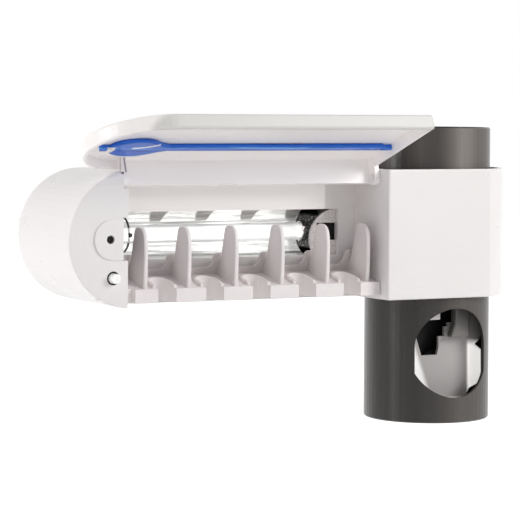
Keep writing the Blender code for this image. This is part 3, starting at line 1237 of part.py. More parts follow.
# Back cover, screws and wall plate
def make_cover():
    front = BACK_Y - COVER_THICKNESS
    cover = prism("back_cover", bullet(BOX_WALL + REST_GAP, CHAMBER_RIGHT_X - REST_GAP), "Y", front, BACK_Y)
    for number, (x, z) in enumerate(cover_posts()):
        cut(cover, rod(f"cover_hole_{number}", "Y", (x, z), SCREW_SHAFT_RADIUS + REST_GAP,
                       front - CUT_OVERRUN, BACK_Y + CUT_OVERRUN))
        cut(cover, rod(f"cover_bore_{number}", "Y", (x, z), SCREW_HEAD_RADIUS + REST_GAP,
                       BACK_Y - SCREW_HEAD_HEIGHT - REST_GAP, BACK_Y + CUT_OVERRUN))
    reach = HOOK_HEAD_HALF + 2 * REST_GAP
    neck = HOOK_NECK_HALF + REST_GAP
    for number, x in enumerate(hook_places()):
        keyhole = [(x - neck, neck), (x - neck, reach - KEYHOLE_DROP), (x - reach, reach - KEYHOLE_DROP),
                   (x - reach, -reach - KEYHOLE_DROP), (x + reach, -reach - KEYHOLE_DROP),
                   (x + reach, reach - KEYHOLE_DROP), (x + neck, reach - KEYHOLE_DROP), (x + neck, neck)]
        cut(cover, prism(f"keyhole_{number}", keyhole, "Y", front - CUT_OVERRUN, BACK_Y + CUT_OVERRUN))
    return cover


def make_screw(name, x, z):
    """A pan-head screw with a cross slot, driven in from the back."""
    head_back = BACK_Y
    head_front = head_back - SCREW_HEAD_HEIGHT
    screw = rod(name, "Y", (x, z), SCREW_HEAD_RADIUS, head_front, head_back)
    shaft_end = BACK_Y - COVER_THICKNESS - SCREW_LENGTH + CUT_OVERRUN
    join(screw, rod(name + "_shaft", "Y", (x, z), SCREW_SHAFT_RADIUS, shaft_end,
                    head_front + SCREW_HEAD_HEIGHT / 2))
    half = SCREW_SLOT_WIDTH / 2
    long_half = SCREW_HEAD_RADIUS * SCREW_SLOT_share
    for number, (wide, tall) in enumerate(((long_half, half), (half, long_half))):
        cut(screw, box(f"{name}_slot_{number}", (x - wide, head_back - SCREW_SLOT_DEPTH, z - tall),
                       (x + wide, head_back + CUT_OVERRUN, z + tall)))
    return screw


def make_boss_screw():
    """The dark screw sunk in the face boss, which holds the lamp's end."""
    front = FACE_Y - BOSS_HEIGHT + BOSS_SCREW_SINK
    back = front + BOSS_SCREW_LENGTH
    return rod("boss_screw", "Y", (BOSS_SCREW_X, LAMP_Z), BOSS_SCREW_RADIUS, front, back)


def make_wall_plate():
    """The plate fixed to the wall, with two hooks that the back cover hangs on."""
    front = -HANGER_THICKNESS
    outline = rounded_rectangle(HANGER_LEFT_X, HANGER_RIGHT_X, -HANGER_HALF_HEIGHT, HANGER_HALF_HEIGHT,
                                HANGER_CORNER, CORNER_STEPS // 2)
    plate = prism("wall_plate", outline, "Y", front, 0.0)
    cover_front = BACK_Y - COVER_THICKNESS
    head_back = cover_front - REST_GAP
    for number, x in enumerate(hook_places()):
        join(plate, box(f"hook_neck_{number}",
                        (x - HOOK_NECK_HALF, head_back - HOOK_HEAD_THICKNESS / 2, -HOOK_NECK_HALF),
                        (x + HOOK_NECK_HALF, front / 2, HOOK_NECK_HALF)))
        join(plate, box(f"hook_head_{number}",
                        (x - HOOK_HEAD_HALF, head_back - HOOK_HEAD_THICKNESS, -HOOK_HEAD_HALF),
                        (x + HOOK_HEAD_HALF, head_back, HOOK_HEAD_HALF)))
    for number, x in enumerate((HANGER_LEFT_X + 2 * HANGER_CORNER, HANGER_RIGHT_X - 2 * HANGER_CORNER)):
        cut(plate, rod(f"wall_screw_hole_{number}", "Y", (x, 0.0), HANGER_HOLE_RADIUS,
                       front - CUT_OVERRUN, CUT_OVERRUN))
    return plate


def swing_open(pieces):
    """Hangs the lid's pieces and their cutters on an empty on the hinge axis and swings it open."""
    hinge = bpy.data.objects.new("lid_hinge_axis", None)
    PARTS.objects.link(hinge)
    hinge.location = (0.0, HINGE_Y, HINGE_Z)
    hung = list(pieces)
    for piece in hung:
        hung += [step.object for step in piece.modifiers if step.type == "BOOLEAN"]
        piece.parent = hinge
        piece.matrix_parent_inverse = Matrix.Translation((0.0, -HINGE_Y, -HINGE_Z))
    hinge.rotation_euler = (-LID_OPEN_ANGLE, 0.0, 0.0)


def paint(pieces, made):
    for piece in pieces:
        piece.data.materials.clear()
        piece.data.materials.append(made)


def main():
    clear_scene()
    white = material("white_abs", (0.82, 0.81, 0.80), 0.32)
    tube_grey = material("tube_grey", (0.085, 0.078, 0.073), 0.25)
    black = material("black_plastic", (0.012, 0.012, 0.012), 0.5)
    blue = material("blue_lens", (0.05, 0.16, 0.62), 0.12, 0.0, 0.4)
    chrome = material("bright_reflector", (0.86, 0.86, 0.86), 0.08, 1.0)
    glass = material("lamp_glass", (0.95, 0.97, 1.0), 0.03, 0.0, 0.95)
    metal = material("bare_metal", (0.60, 0.60, 0.59), 0.3, 1.0)
    board_green = material("board", (0.03, 0.16, 0.07), 0.5)
    rubber = material("pale_rubber", (0.55, 0.54, 0.52), 0.7)

    paint([make_housing(), make_tray(), make_cover(), make_wall_plate(), make_shield(), make_button(),
           *make_hinge_pins()], white)
    lid, lens = make_lid(), make_lens()
    paint([lid], white)
    paint([lens], blue)
    swing_open([lid, lens])

    paint([make_tube()], tube_grey)
    paint([make_frame(), make_bracket(), *make_lamp_sockets()], black)
    paint([make_paddle(), make_nozzle(), make_ledge()], white)
    paint([make_paste_socket(), make_diaphragm()], rubber)
    paint([make_paddle_pin()], metal)

    lamp, cap_left, cap_right = make_lamp()
    paint([lamp], glass)
    paint([cap_left, cap_right, make_spring()], metal)
    paint([make_reflector()], chrome)

    block, cans = make_board_parts()
    paint([make_board()], board_green)
    paint([block, *cans, make_switch(), make_inlet(), make_boss_screw()], black)
    paint([make_screw(f"cover_screw_{i + 1}", x, z) for i, (x, z) in enumerate(cover_posts())], metal)


main()
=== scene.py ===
"""Looks of the wall-hung toothbrush sterilizer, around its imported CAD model."""

import math

import bmesh
import bpy
from mathutils import Matrix, Vector


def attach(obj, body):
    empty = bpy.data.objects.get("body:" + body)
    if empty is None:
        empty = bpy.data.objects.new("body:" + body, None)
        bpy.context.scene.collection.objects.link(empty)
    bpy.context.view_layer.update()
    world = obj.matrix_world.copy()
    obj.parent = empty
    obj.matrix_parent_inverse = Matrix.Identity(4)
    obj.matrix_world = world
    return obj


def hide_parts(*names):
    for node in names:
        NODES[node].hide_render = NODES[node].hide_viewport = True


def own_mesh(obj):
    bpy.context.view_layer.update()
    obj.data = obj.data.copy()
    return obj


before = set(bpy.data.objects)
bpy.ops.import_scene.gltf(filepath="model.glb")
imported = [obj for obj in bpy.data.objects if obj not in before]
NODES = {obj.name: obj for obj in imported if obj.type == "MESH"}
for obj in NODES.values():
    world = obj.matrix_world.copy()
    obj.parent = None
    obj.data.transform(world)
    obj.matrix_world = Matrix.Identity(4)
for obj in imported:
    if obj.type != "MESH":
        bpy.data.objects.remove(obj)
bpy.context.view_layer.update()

# Shaders

NOISE_DETAIL = 3.0
NOISE_ROUGHNESS = 0.5
NOISE_WINDOW = (0.3, 0.7)
EVEN = (1.0, 1.0, 1.0)


class Shader:
    """A node material built step by step round one Principled shader.

    A pattern is a noise's scale, detail, stretch along X, Y and Z, and roughness.
    """

    def __init__(self, name, colour, roughness, metallic=0.0, **sockets):
        self.material = bpy.data.materials.new(name)
        self.material.use_nodes = True
        self.tree = self.material.node_tree
        self.main = self.tree.nodes["Principled BSDF"]
        self.main.inputs["Base Color"].default_value = (*colour, 1.0)
        self.main.inputs["Roughness"].default_value = roughness
        self.main.inputs["Metallic"].default_value = metallic
        for key, value in sockets.items():
            self.main.inputs[key.replace("_", " ")].default_value = value
        self.place = self.tree.nodes.new("ShaderNodeTexCoord").outputs["Object"]
        self.bump_input = None

    def node(self, kind, inputs, **settings):
        made = self.tree.nodes.new(kind)
        for key, value in settings.items():
            setattr(made, key, value)
        for key, value in inputs.items():
            socket = made.inputs[key]
            if isinstance(value, bpy.types.NodeSocket):
                self.tree.links.new(value, socket)
            else:
                socket.default_value = value
        return made

    def noise(self, scale, detail=NOISE_DETAIL, stretch=EVEN, rough=NOISE_ROUGHNESS):
        place = self.node("ShaderNodeMapping", {"Vector": self.place, "Scale": stretch}).outputs[0]
        inputs = {"Vector": place, "Scale": scale, "Detail": detail, "Roughness": rough}
        return self.node("ShaderNodeTexNoise", inputs).outputs["Fac"]

    def span(self, value, low, high, old_low=NOISE_WINDOW[0], old_high=NOISE_WINDOW[1]):
        """A value carried from one range to another, held at both ends."""
        inputs = {"Value": value, "From Min": old_low, "From Max": old_high, "To Min": low, "To Max": high}
        return self.node("ShaderNodeMapRange", inputs).outputs[0]

    def blend(self, factor, first, second):
        mix = self.node("ShaderNodeMix", {"Factor": factor}, data_type="RGBA")
        for socket, value in ((mix.inputs[6], first), (mix.inputs[7], second)):
            if isinstance(value, bpy.types.NodeSocket):
                self.tree.links.new(value, socket)
            else:
                socket.default_value = (*value, 1.0)
        return mix.outputs[2]

    def math(self, operation, *values):
        return self.node("ShaderNodeMath", dict(enumerate(values)), operation=operation).outputs[0]

    def product(self, first, *others):
        for other in others:
            first = self.math("MULTIPLY", first, other)
        return first

    def vector(self, operation, first, second, output="Value"):
        made = self.node("ShaderNodeVectorMath", {0: first, 1: second}, operation=operation)
        return made.outputs[output]

    def axis(self, letter):
        return self.node("ShaderNodeSeparateXYZ", {0: self.place}).outputs[letter]

    def rise(self, letter, low, high):
        """Nought before one place on an axis, one beyond the other."""
        return self.span(self.axis(letter), 0.0, 1.0, low, high)

    def fall(self, letter, low, high):
        """One before one place on an axis, nought beyond the other."""
        return self.span(self.axis(letter), 1.0, 0.0, low, high)

    def within(self, value, low, high):
        """One between two values, nought elsewhere."""
        return self.math("COMPARE", value, (low + high) / 2, (high - low) / 2)

    def near(self, centre, reach):
        """One inside a box round a place, nought outside it."""
        sides = zip("XYZ", centre, reach)
        return self.product(1.0, *[self.math("COMPARE", self.axis(letter), middle, half)
                                   for letter, middle, half in sides])

    def waver(self, value, reach, pattern):
        """A value that strays a little either way."""
        return self.math("ADD", value, self.span(self.noise(*pattern), -reach, reach))

    def mottled(self, light, dark, pattern, amount=1.0, window=NOISE_WINDOW):
        """One colour with patches of a second where a noise is high."""
        return self.blend(self.span(self.noise(*pattern), 0.0, amount, *window), light, dark)

    def ramp(self, value, stops):
        """A colour ramp whose stops are given in the value's own unit."""
        made = self.node("ShaderNodeValToRGB", {})
        low = stops[0][0]
        high = stops[-1][0]
        self.tree.links.new(self.span(value, 0.0, 1.0, low, high), made.inputs[0])
        bar = made.color_ramp.elements
        for number, (place, colour) in enumerate(stops):
            spot = bar[number] if number < 2 else bar.new((place - low) / (high - low))
            spot.position = (place - low) / (high - low)
            spot.color = (*colour, 1.0)
        return made.outputs[0]

    def bands(self, value, levels, tint=EVEN):
        """A ramp of levels that all have one tint."""
        return self.ramp(value, [(place, [level * part for part in tint]) for place, level in levels])

    def colour(self, socket):
        self.tree.links.new(socket, self.main.inputs["Base Color"])

    def glow(self, socket, strength):
        self.tree.links.new(socket, self.main.inputs["Emission Color"])
        self.main.inputs["Emission Strength"].default_value = strength

    def lit(self, tint, strength):
        """Light of one tint, as strong as a socket says."""
        self.main.inputs["Emission Color"].default_value = (*tint, 1.0)
        self.tree.links.new(strength, self.main.inputs["Emission Strength"])

    def roughness(self, pattern, low, high):
        self.tree.links.new(self.span(self.noise(*pattern), low, high), self.main.inputs["Roughness"])

    def bump(self, pattern, distance, strength):
        inputs = {"Height": self.noise(*pattern), "Distance": distance, "Strength": strength}
        if self.bump_input is not None:
            inputs["Normal"] = self.bump_input
        self.bump_input = self.node("ShaderNodeBump", inputs).outputs["Normal"]
        self.tree.links.new(self.bump_input, self.main.inputs["Normal"])


# White and black mouldings

CLOUD = (28.0, 4.0)
FLOW = (9.0, 3.0, (1.0, 6.0, 6.0))
GRAIN = (2600.0, 2.0)
GRAIN_DEPTH = 0.00001
GRAIN_STRENGTH = 0.5
RIPPLE = (60.0, 3.0)
RIPPLE_DEPTH = 0.00008
RIPPLE_STRENGTH = 0.18
GLOSS_SPREAD = (-0.05, 0.07)

GLOSS_ROUGHNESS = 0.30
SATIN_ROUGHNESS = 0.42
SATIN_GRAIN = 1.6
WHITE_PLAIN = (0.87, 0.84, 0.832)
WHITE_PLAIN_DEEP = (0.85, 0.82, 0.81)
WHITE_CASE = (0.88, 0.85, 0.842)
WHITE_CASE_DEEP = (0.86, 0.83, 0.82)
WHITE_SATIN = (0.85, 0.80, 0.797)
WHITE_SATIN_DEEP = (0.83, 0.778, 0.775)
BLACK_PLAIN = (0.004, 0.004, 0.004)
BLACK_PLAIN_DEEP = (0.009, 0.008, 0.008)
RUBBER_PALE = (0.48, 0.47, 0.45)
RUBBER_PALE_DEEP = (0.43, 0.42, 0.40)


def plastic(name, base, roughness, grain=1.0, **sockets):
    """Injection-moulded plastic: fine spark grain and slightly uneven gloss."""
    made = Shader(name, base, roughness, **sockets)
    made.roughness(FLOW, roughness + GLOSS_SPREAD[0], roughness + GLOSS_SPREAD[1])
    made.bump(GRAIN, GRAIN_DEPTH * grain, GRAIN_STRENGTH)
    return made


def moulded(name, light, dark, roughness, grain=1.0, **sockets):
    """Plastic in faint clouds of two close tints, on a skin that is not quite flat."""
    made = plastic(name, light, roughness, grain, **sockets)
    made.colour(made.mottled(light, dark, CLOUD))
    made.bump(RIPPLE, RIPPLE_DEPTH, RIPPLE_STRENGTH)
    return made.material


# Painted light: a faint glow on the chamber's upper wall, cut off where the sleeve's shadow starts.
PANEL_LIT_X = (0.0234, 0.0238)
PANEL_LEFT_X = -0.0880
PANEL_LIT_Y = (-0.0385, -0.0355)
PANEL_LIT_Z = 0.0100
PANEL_LIGHT = (1.0, 0.96, 0.95)
PANEL_LIGHT_LEVEL = 0.15
# Painted shadow: a dark patch in the gap at the lid arm's foot.
ARM_FOOT = (-0.0920, -0.0605, 0.0300)
ARM_FOOT_REACH = (0.0008, 0.0007, 0.0010)
ARM_FOOT_GAP_SHADOW = (0.16, 0.13, 0.13)


def housing_material():
    """White, with painted light on the chamber's upper wall up to where the sleeve's shadow starts, and a
    painted shadow in the gap at the lid arm's foot.
    """
    made = plastic("housing_moulding", WHITE_PLAIN, GLOSS_ROUGHNESS)
    made.bump(RIPPLE, RIPPLE_DEPTH, RIPPLE_STRENGTH)
    white = made.mottled(WHITE_CASE, WHITE_CASE_DEEP, CLOUD)
    # Painted shadow at the lid arm's foot, laid over the white.
    made.colour(made.blend(made.near(ARM_FOOT, ARM_FOOT_REACH), white, ARM_FOOT_GAP_SHADOW))
    shadow_edge = made.fall("X", *PANEL_LIT_X)
    left_edge = made.math("GREATER_THAN", made.axis("X"), PANEL_LEFT_X)
    plane = made.within(made.axis("Y"), *PANEL_LIT_Y)
    high = made.math("GREATER_THAN", made.axis("Z"), PANEL_LIT_Z)
    made.lit(PANEL_LIGHT, made.product(shadow_edge, left_edge, plane, high, PANEL_LIGHT_LEVEL))
    return made.material


# Painted shade: the tray darkens towards its back, near the panel.
TRAY_BACK_Y = (-0.0500, -0.0400)
TRAY_BACK_SHADE = (0.60, 0.555, 0.55)
# Painted light: a glow on the first fin's outer side, stronger towards the top.
TRAY_LIT_X = (-0.0820, -0.0816)
TRAY_LIT_Z = (-0.0200, 0.0020)
TRAY_LIGHT = (1.0, 0.94, 0.93)
TRAY_LIGHT_LEVELS = (0.02, 0.30)


def tray_material():
    """Satin white, with painted shade towards the back and painted light on the outer side of the first fin,
    standing in for light thrown back by the left end.
    """
    made = plastic("tray_moulding", WHITE_SATIN, SATIN_ROUGHNESS, SATIN_GRAIN)
    white = made.mottled(WHITE_SATIN, WHITE_SATIN_DEEP, CLOUD)
    # Painted shade towards the back; painted light on the first fin's outer side below.
    made.colour(made.blend(made.rise("Y", *TRAY_BACK_Y), white, TRAY_BACK_SHADE))
    level = made.span(made.axis("Z"), *TRAY_LIGHT_LEVELS, *TRAY_LIT_Z)
    made.lit(TRAY_LIGHT, made.product(made.fall("X", *TRAY_LIT_X), level))
    return made.material


# Painted shade: the straight front edge is greyer; painted light: a faint glow on the rest of the lid.
LID_EDGE_Y = (-0.1062, -0.1048)
LID_EDGE_SHADE = (0.69, 0.675, 0.65)
LID_LIGHT = (1.0, 0.93, 0.90)
LID_LIGHT_LEVEL = 0.09
ARM_SIDE_LINE = (-0.0912, -0.0562, 0.0325)
ARM_SIDE_REACH = (0.0001, 0.0004, 0.0036)
ARM_FRONT_LINE = (-0.0898, -0.0582, 0.0325)
ARM_FRONT_REACH = (0.0004, 0.0012, 0.0036)
ARM_LINE_TINT = (0.40, 0.35, 0.35)


def lid_material():
    """White with a faint painted light, painted shade that makes the straight front edge greyer, and two
    dark lines down the left arm.
    """
    made = plastic("lid_moulding", WHITE_PLAIN, GLOSS_ROUGHNESS)
    white = made.mottled(WHITE_CASE, WHITE_CASE_DEEP, CLOUD)
    edge = made.fall("Y", *LID_EDGE_Y)
    side = made.near(ARM_SIDE_LINE, ARM_SIDE_REACH)
    front = made.near(ARM_FRONT_LINE, ARM_FRONT_REACH)
    lines = made.math("MAXIMUM", side, front)
    # Painted shade greys the front edge; a faint painted light covers the rest.
    made.colour(made.blend(lines, made.blend(edge, white, LID_EDGE_SHADE), ARM_LINE_TINT))
    made.lit(LID_LIGHT, made.span(made.math("MAXIMUM", edge, lines), LID_LIGHT_LEVEL, 0.0, 0.0, 1.0))
    return made.material


# Painted glints: fine light and dark specks on the knob.
BUTTON_GLINT_SPECKS = (900.0, 3.0)
BUTTON_DENTS = (700.0, 2.0)
BUTTON_GLINT_LIGHT = (0.95, 0.945, 0.94)
BUTTON_GLINT_DARK = (0.72, 0.72, 0.71)


def button_material():
    """A polished knob with painted glints in light and dark specks, which also glow."""
    made = Shader("polished_button", (0.93, 0.925, 0.92), roughness=0.10, Coat_Weight=0.5)
    # Painted glints, also used as a glow.
    specks = made.mottled(BUTTON_GLINT_LIGHT, BUTTON_GLINT_DARK, BUTTON_GLINT_SPECKS)
    made.colour(specks)
    made.glow(specks, strength=0.25)
    made.bump(BUTTON_DENTS, distance=0.0001, strength=0.4)
    return made.material


# Dispenser tube and what its window shows

TUBE_CENTRE = Vector((0.0815, -0.0350, 0.0))
TUBE_RADIUS = 0.0300
TUBE_SHEEN_ACROSS = Vector((0.848, -0.530, 0.0))
TUBE_TINT = (1.0, 0.90, 0.82)
# Painted sheen: levels of the soft upright bands across the tube, for its lower and upper parts.
TUBE_SHEEN = ((-1.0, 0.085), (-0.93, 0.068), (-0.80, 0.030), (-0.60, 0.020), (-0.50, 0.054), (-0.40, 0.030),
              (-0.15, 0.026), (0.10, 0.036), (0.30, 0.060), (0.55, 0.100), (0.85, 0.075), (1.0, 0.055))
TUBE_TOP_SHEEN = ((-1.0, 0.085), (-0.40, 0.040), (-0.11, 0.070), (0.02, 0.050), (0.15, 0.050), (0.27, 0.088),
                  (0.40, 0.145), (0.53, 0.235), (0.66, 0.205), (0.79, 0.120), (1.0, 0.070))
TUBE_TOP_Z = (0.0290, 0.0310)
TUBE_SKIN = (0.0293, 0.0297)
TUBE_EDGE_TINT = (0.014, 0.011, 0.009)
TUBE_DRAWN = (30.0, 3.0, (4.0, 4.0, 0.4))
TUBE_GRAIN = 0.7


def tube_material():
    """Dark grey gloss with a painted sheen of soft upright bands, brighter on its upper part, near black on
    its cut edges.
    """
    made = Shader("dark_grey_gloss", (0.05, 0.047, 0.044), roughness=0.26, Specular_IOR_Level=0.3)
    across = TUBE_SHEEN_ACROSS / TUBE_RADIUS
    side = made.math("SUBTRACT", made.vector("DOT_PRODUCT", made.place, across), across.dot(TUBE_CENTRE))
    # Painted sheen of soft upright bands, with a brighter set on the upper part.
    lower = made.bands(side, TUBE_SHEEN, TUBE_TINT)
    upper = made.bands(side, TUBE_TOP_SHEEN, TUBE_TINT)
    skin = made.blend(made.rise("Z", *TUBE_TOP_Z), lower, upper)
    level = made.vector("MULTIPLY", made.place, (1.0, 1.0, 0.0), "Vector")
    reach = made.vector("DISTANCE", level, TUBE_CENTRE)
    made.colour(made.blend(made.span(reach, 0.0, 1.0, *TUBE_SKIN), TUBE_EDGE_TINT, skin))
    made.roughness(TUBE_DRAWN, low=0.22, high=0.32)
    made.bump(GRAIN, GRAIN_DEPTH * TUBE_GRAIN, GRAIN_STRENGTH)
    return made.material


SCOOP_HAZE = (24.0, 3.0)
SCOOP_ROUGHNESS = (0.34, 0.48)
# Painted shade: the nozzle's grey, darker towards the top.
NOZZLE_SHADE_Z = (-0.0500, -0.0400)
NOZZLE_LIGHT = (0.17, 0.16, 0.15)
NOZZLE_DARK = (0.10, 0.095, 0.09)
SCOOP_WING_Y = (-0.0508, -0.0496)
SCOOP_FLOOR_X = (0.0700, 0.0966)
SCOOP_FOLD_X = (0.0930, 0.0966)
SCOOP_CREASE_X = (0.0950, 0.0964)
SCOOP_RIM_X = (0.0968, 0.0990)
SCOOP_FOLD_Z = (-0.0550, -0.0515)
SCOOP_SHADE_Z = (-0.0460, -0.0395)
# Painted shade: the floor's grey, lighter towards the fold, and the darker top and rim.
SCOOP_FLOOR_LEFT = (0.41, 0.39, 0.383)
SCOOP_FLOOR_RIGHT = (0.52, 0.495, 0.487)
SCOOP_SHADE = (0.30, 0.285, 0.275)
SCOOP_RIM_SHADE = (0.05, 0.046, 0.042)
SCOOP_WING = (0.93, 0.915, 0.90)
# Painted light on the wings below the kink, strongest on the right wing.
SCOOP_LIGHT = (1.0, 0.985, 0.96)
SCOOP_WING_LEVEL = 0.08
SCOOP_FOLD_LEVEL = 0.34


def scoop_shader(name, base):
    """Satin plastic of the two pieces behind the brush window."""
    made = Shader(name, base, roughness=0.40)
    made.roughness(SCOOP_HAZE, *SCOOP_ROUGHNESS)
    made.bump(GRAIN, GRAIN_DEPTH, GRAIN_STRENGTH)
    return made


def nozzle_material():
    """Painted shade all over, falling deeper towards the top of the brush window."""
    made = scoop_shader("nozzle_shade", NOZZLE_LIGHT)
    made.colour(made.blend(made.rise("Z", *NOZZLE_SHADE_Z), NOZZLE_LIGHT, NOZZLE_DARK))
    return made.material


def paddle_material():
    """The scoop: a grey floor in painted shade, painted lighter towards the right, white wings with painted
    shade above their kink, and painted light caught by the right wing below its kink.
    """
    made = scoop_shader("scoop_floor", (0.47, 0.45, 0.44))
    # Painted shade on the floor and above the kink; painted light on the wings below it.
    floor = made.blend(made.rise("X", *SCOOP_FLOOR_X), SCOOP_FLOOR_LEFT, SCOOP_FLOOR_RIGHT)
    floor = made.blend(made.rise("Z", *SCOOP_SHADE_Z), floor, SCOOP_SHADE)
    wing = made.math("MAXIMUM", made.fall("Y", *SCOOP_WING_Y), made.rise("X", *SCOOP_CREASE_X))
    upper = made.blend(made.rise("X", *SCOOP_RIM_X), SCOOP_SHADE, SCOOP_RIM_SHADE)
    wings = made.blend(made.rise("Z", *SCOOP_FOLD_Z), SCOOP_WING, upper)
    made.colour(made.blend(wing, floor, wings))
    level = made.math("MULTIPLY_ADD", made.rise("X", *SCOOP_FOLD_X), SCOOP_FOLD_LEVEL, SCOOP_WING_LEVEL)
    made.lit(SCOOP_LIGHT, made.product(level, made.product(wing, made.fall("Z", *SCOOP_FOLD_Z))))
    return made.material


# Blue lens

# Painted highlight and shade: dark blue edges and a pale streak across the lens bands.
LENS_SHADE_BLUE = (0.015, 0.07, 0.42)
LENS_BLUE = (0.022, 0.155, 0.72)
LENS_HIGHLIGHT_BLUE = (0.13, 0.38, 0.95)
LENS_BANDS = ((0.0368, LENS_BLUE), (0.0388, LENS_BLUE), (0.0393, LENS_SHADE_BLUE), (0.0398, LENS_BLUE),
              (0.0402, LENS_HIGHLIGHT_BLUE), (0.0406, LENS_HIGHLIGHT_BLUE), (0.0411, LENS_BLUE), (0.0418, LENS_BLUE),
              (0.0424, LENS_SHADE_BLUE), (0.0436, LENS_BLUE), (0.0450, LENS_SHADE_BLUE), (0.0463, LENS_SHADE_BLUE))
LENS_FLOW = (26.0, 2.0, (1.0, 0.3, 0.3))
LENS_GAPS = (45.0, 1.0, (1.0, 0.1, 0.1))
LENS_DENTS = (90.0, 2.0, (0.3, 1.0, 1.0))
LENS_STRAY = 0.0003
GLINT_X = (-0.0940, -0.0820)
GLINT_RUN = (0.001, 0.999)
GLINT_Z = 0.0405
GLINT_RISE = 0.0017
GLINT_HALF = 0.0002
GLINT_TINT = (0.95, 0.96, 1.0)
# Painted glint: a white patch at the lens's tip.
TIP_GLINT_X = (-0.1054, -0.1020)
TIP_GLINT_Z = (0.0386, 0.0409)
TIP_GLINT_TINT = (0.93, 0.92, 0.90)


def lens_material():
    """Clear blue with long bands of painted highlight and shade, a painted curved glint in the bulb and a
    painted white glint at the tip.
    """
    made = Shader("blue_lens", LENS_BLUE, roughness=0.12, Transmission_Weight=0.05, IOR=1.49,
                  Coat_Weight=0.08, Coat_Roughness=0.08, Specular_IOR_Level=0.15)
    height = made.axis("Z")
    # Bands of painted highlight and shade by height.
    bands = made.ramp(made.waver(height, LENS_STRAY, LENS_FLOW), LENS_BANDS)
    bands = made.mottled(bands, LENS_BLUE, LENS_GAPS, amount=0.7, window=(0.46, 0.56))
    run = made.rise("X", *GLINT_X)
    curve = made.math("MULTIPLY_ADD", made.product(run, run), GLINT_RISE, GLINT_Z)
    off = made.math("ABSOLUTE", made.math("SUBTRACT", height, curve))
    line = made.span(off, 1.0, 0.0, GLINT_HALF, GLINT_HALF * 2)
    bands = made.blend(made.product(line, made.within(run, *GLINT_RUN)), bands, GLINT_TINT)
    # Painted white glint at the tip.
    tip_glint = made.product(made.within(made.axis("X"), *TIP_GLINT_X), made.within(height, *TIP_GLINT_Z))
    made.colour(made.blend(tip_glint, bands, TIP_GLINT_TINT))
    made.bump(LENS_DENTS, distance=0.0002, strength=0.25)
    return made.material


# Reflector, lamp and what holds them

# Painted reflection: the trough's bands, darker stripes and the dark patch above each fin stand in for what
# it mirrors.
BAY_PITCH = 0.0237
SHADE_CENTRE_X = -0.0561
SHADE_HALF = 0.0046
SHADE_SOFT = 0.0005
SHADE_SLANT = -0.45
SHADE_OFFSET = 0.0045
SHADE_Z = (0.0052, 0.0062)
SHADE_AMOUNT = 0.9
SHADE_TINT = (0.16, 0.15, 0.14)
STREAK_END_X = (-0.0782, -0.0766)
STREAKS = ((0.0104, 0.0005), (0.0081, 0.0004))
STREAK_TINT = (0.03, 0.03, 0.03)
REFLECTOR_TINT = (1.0, 1.0, 0.985)
REFLECTOR_BANDS = ((-0.0115, 0.85), (-0.0100, 0.12), (-0.0092, 0.90), (-0.0050, 0.95), (-0.0032, 0.30),
                   (-0.0024, 0.55), (-0.0010, 0.95), (0.0040, 1.0), (0.0048, 0.42), (0.0060, 0.85),
                   (0.0072, 0.95), (0.0105, 0.80), (0.0118, 0.10))
REFLECTOR_FLOW = (60.0, 4.0, (0.25, 1.0, 5.0))
REFLECTOR_STRAY = 0.0006
REFLECTOR_STRIPES = (110.0, 4.0, (0.35, 1.0, 7.0), 0.6)
REFLECTOR_STRIPE_TINT = (0.33, 0.325, 0.32)
REFLECTOR_HAZE = (30.0, 4.0)
REFLECTOR_DENTS = (22.0, 2.0, (1.0, 1.0, 2.0))


def chrome_material():
    """Bright trough in painted reflection that also glows: level light and dark bands, with a dark patch
    above each fin.
    """
    made = Shader("bright_reflector", (0.9, 0.9, 0.9), roughness=0.22, metallic=0.75)
    level = made.waver(made.axis("Z"), REFLECTOR_STRAY, REFLECTOR_FLOW)
    finished = made.bands(level, REFLECTOR_BANDS, REFLECTOR_TINT)
    along = made.math("SUBTRACT", made.axis("X"), SHADE_CENTRE_X)
    reach = made.math("PINGPONG", along, BAY_PITCH / 2)
    reach = made.math("ADD", reach, made.math("MULTIPLY_ADD", level, SHADE_SLANT, SHADE_OFFSET))
    inside = made.span(reach, 1.0, 0.0, SHADE_HALF - SHADE_SOFT, SHADE_HALF + SHADE_SOFT)
    high = made.span(level, 0.0, 1.0, *SHADE_Z)
    finished = made.blend(made.product(inside, high, SHADE_AMOUNT), finished, SHADE_TINT)
    finished = made.mottled(finished, REFLECTOR_STRIPE_TINT, REFLECTOR_STRIPES, amount=0.75,
                            window=(0.47, 0.60))
    end = made.fall("X", *STREAK_END_X)
    for height, half in STREAKS:
        line = made.math("COMPARE", level, height, half)
        finished = made.blend(made.product(line, end), finished, STREAK_TINT)
    # The painted reflection is also given as a glow.
    made.colour(finished)
    made.glow(finished, strength=0.42)
    made.roughness(REFLECTOR_HAZE, low=0.18, high=0.30)
    made.bump(REFLECTOR_DENTS, distance=0.0008, strength=0.2)
    return made.material


# Painted highlight: bright along the lamp's middle, darker towards its edges.
LAMP_HIGHLIGHT_BANDS = ((-0.0042, 0.20), (-0.0030, 0.50), (-0.0022, 0.95), (0.0010, 1.0), (0.0030, 0.85),
              (0.0038, 0.45), (0.0046, 0.25))
LAMP_FLOW = (50.0, 3.0, (0.3, 1.0, 4.0))
LAMP_STRAY = 0.0005
LAMP_STRIPES = (90.0, 3.0, (0.35, 1.0, 7.0), 0.6)
LAMP_STRIPE_TINT = (0.40, 0.39, 0.38)
LAMP_HAZE = (60.0, 3.0)


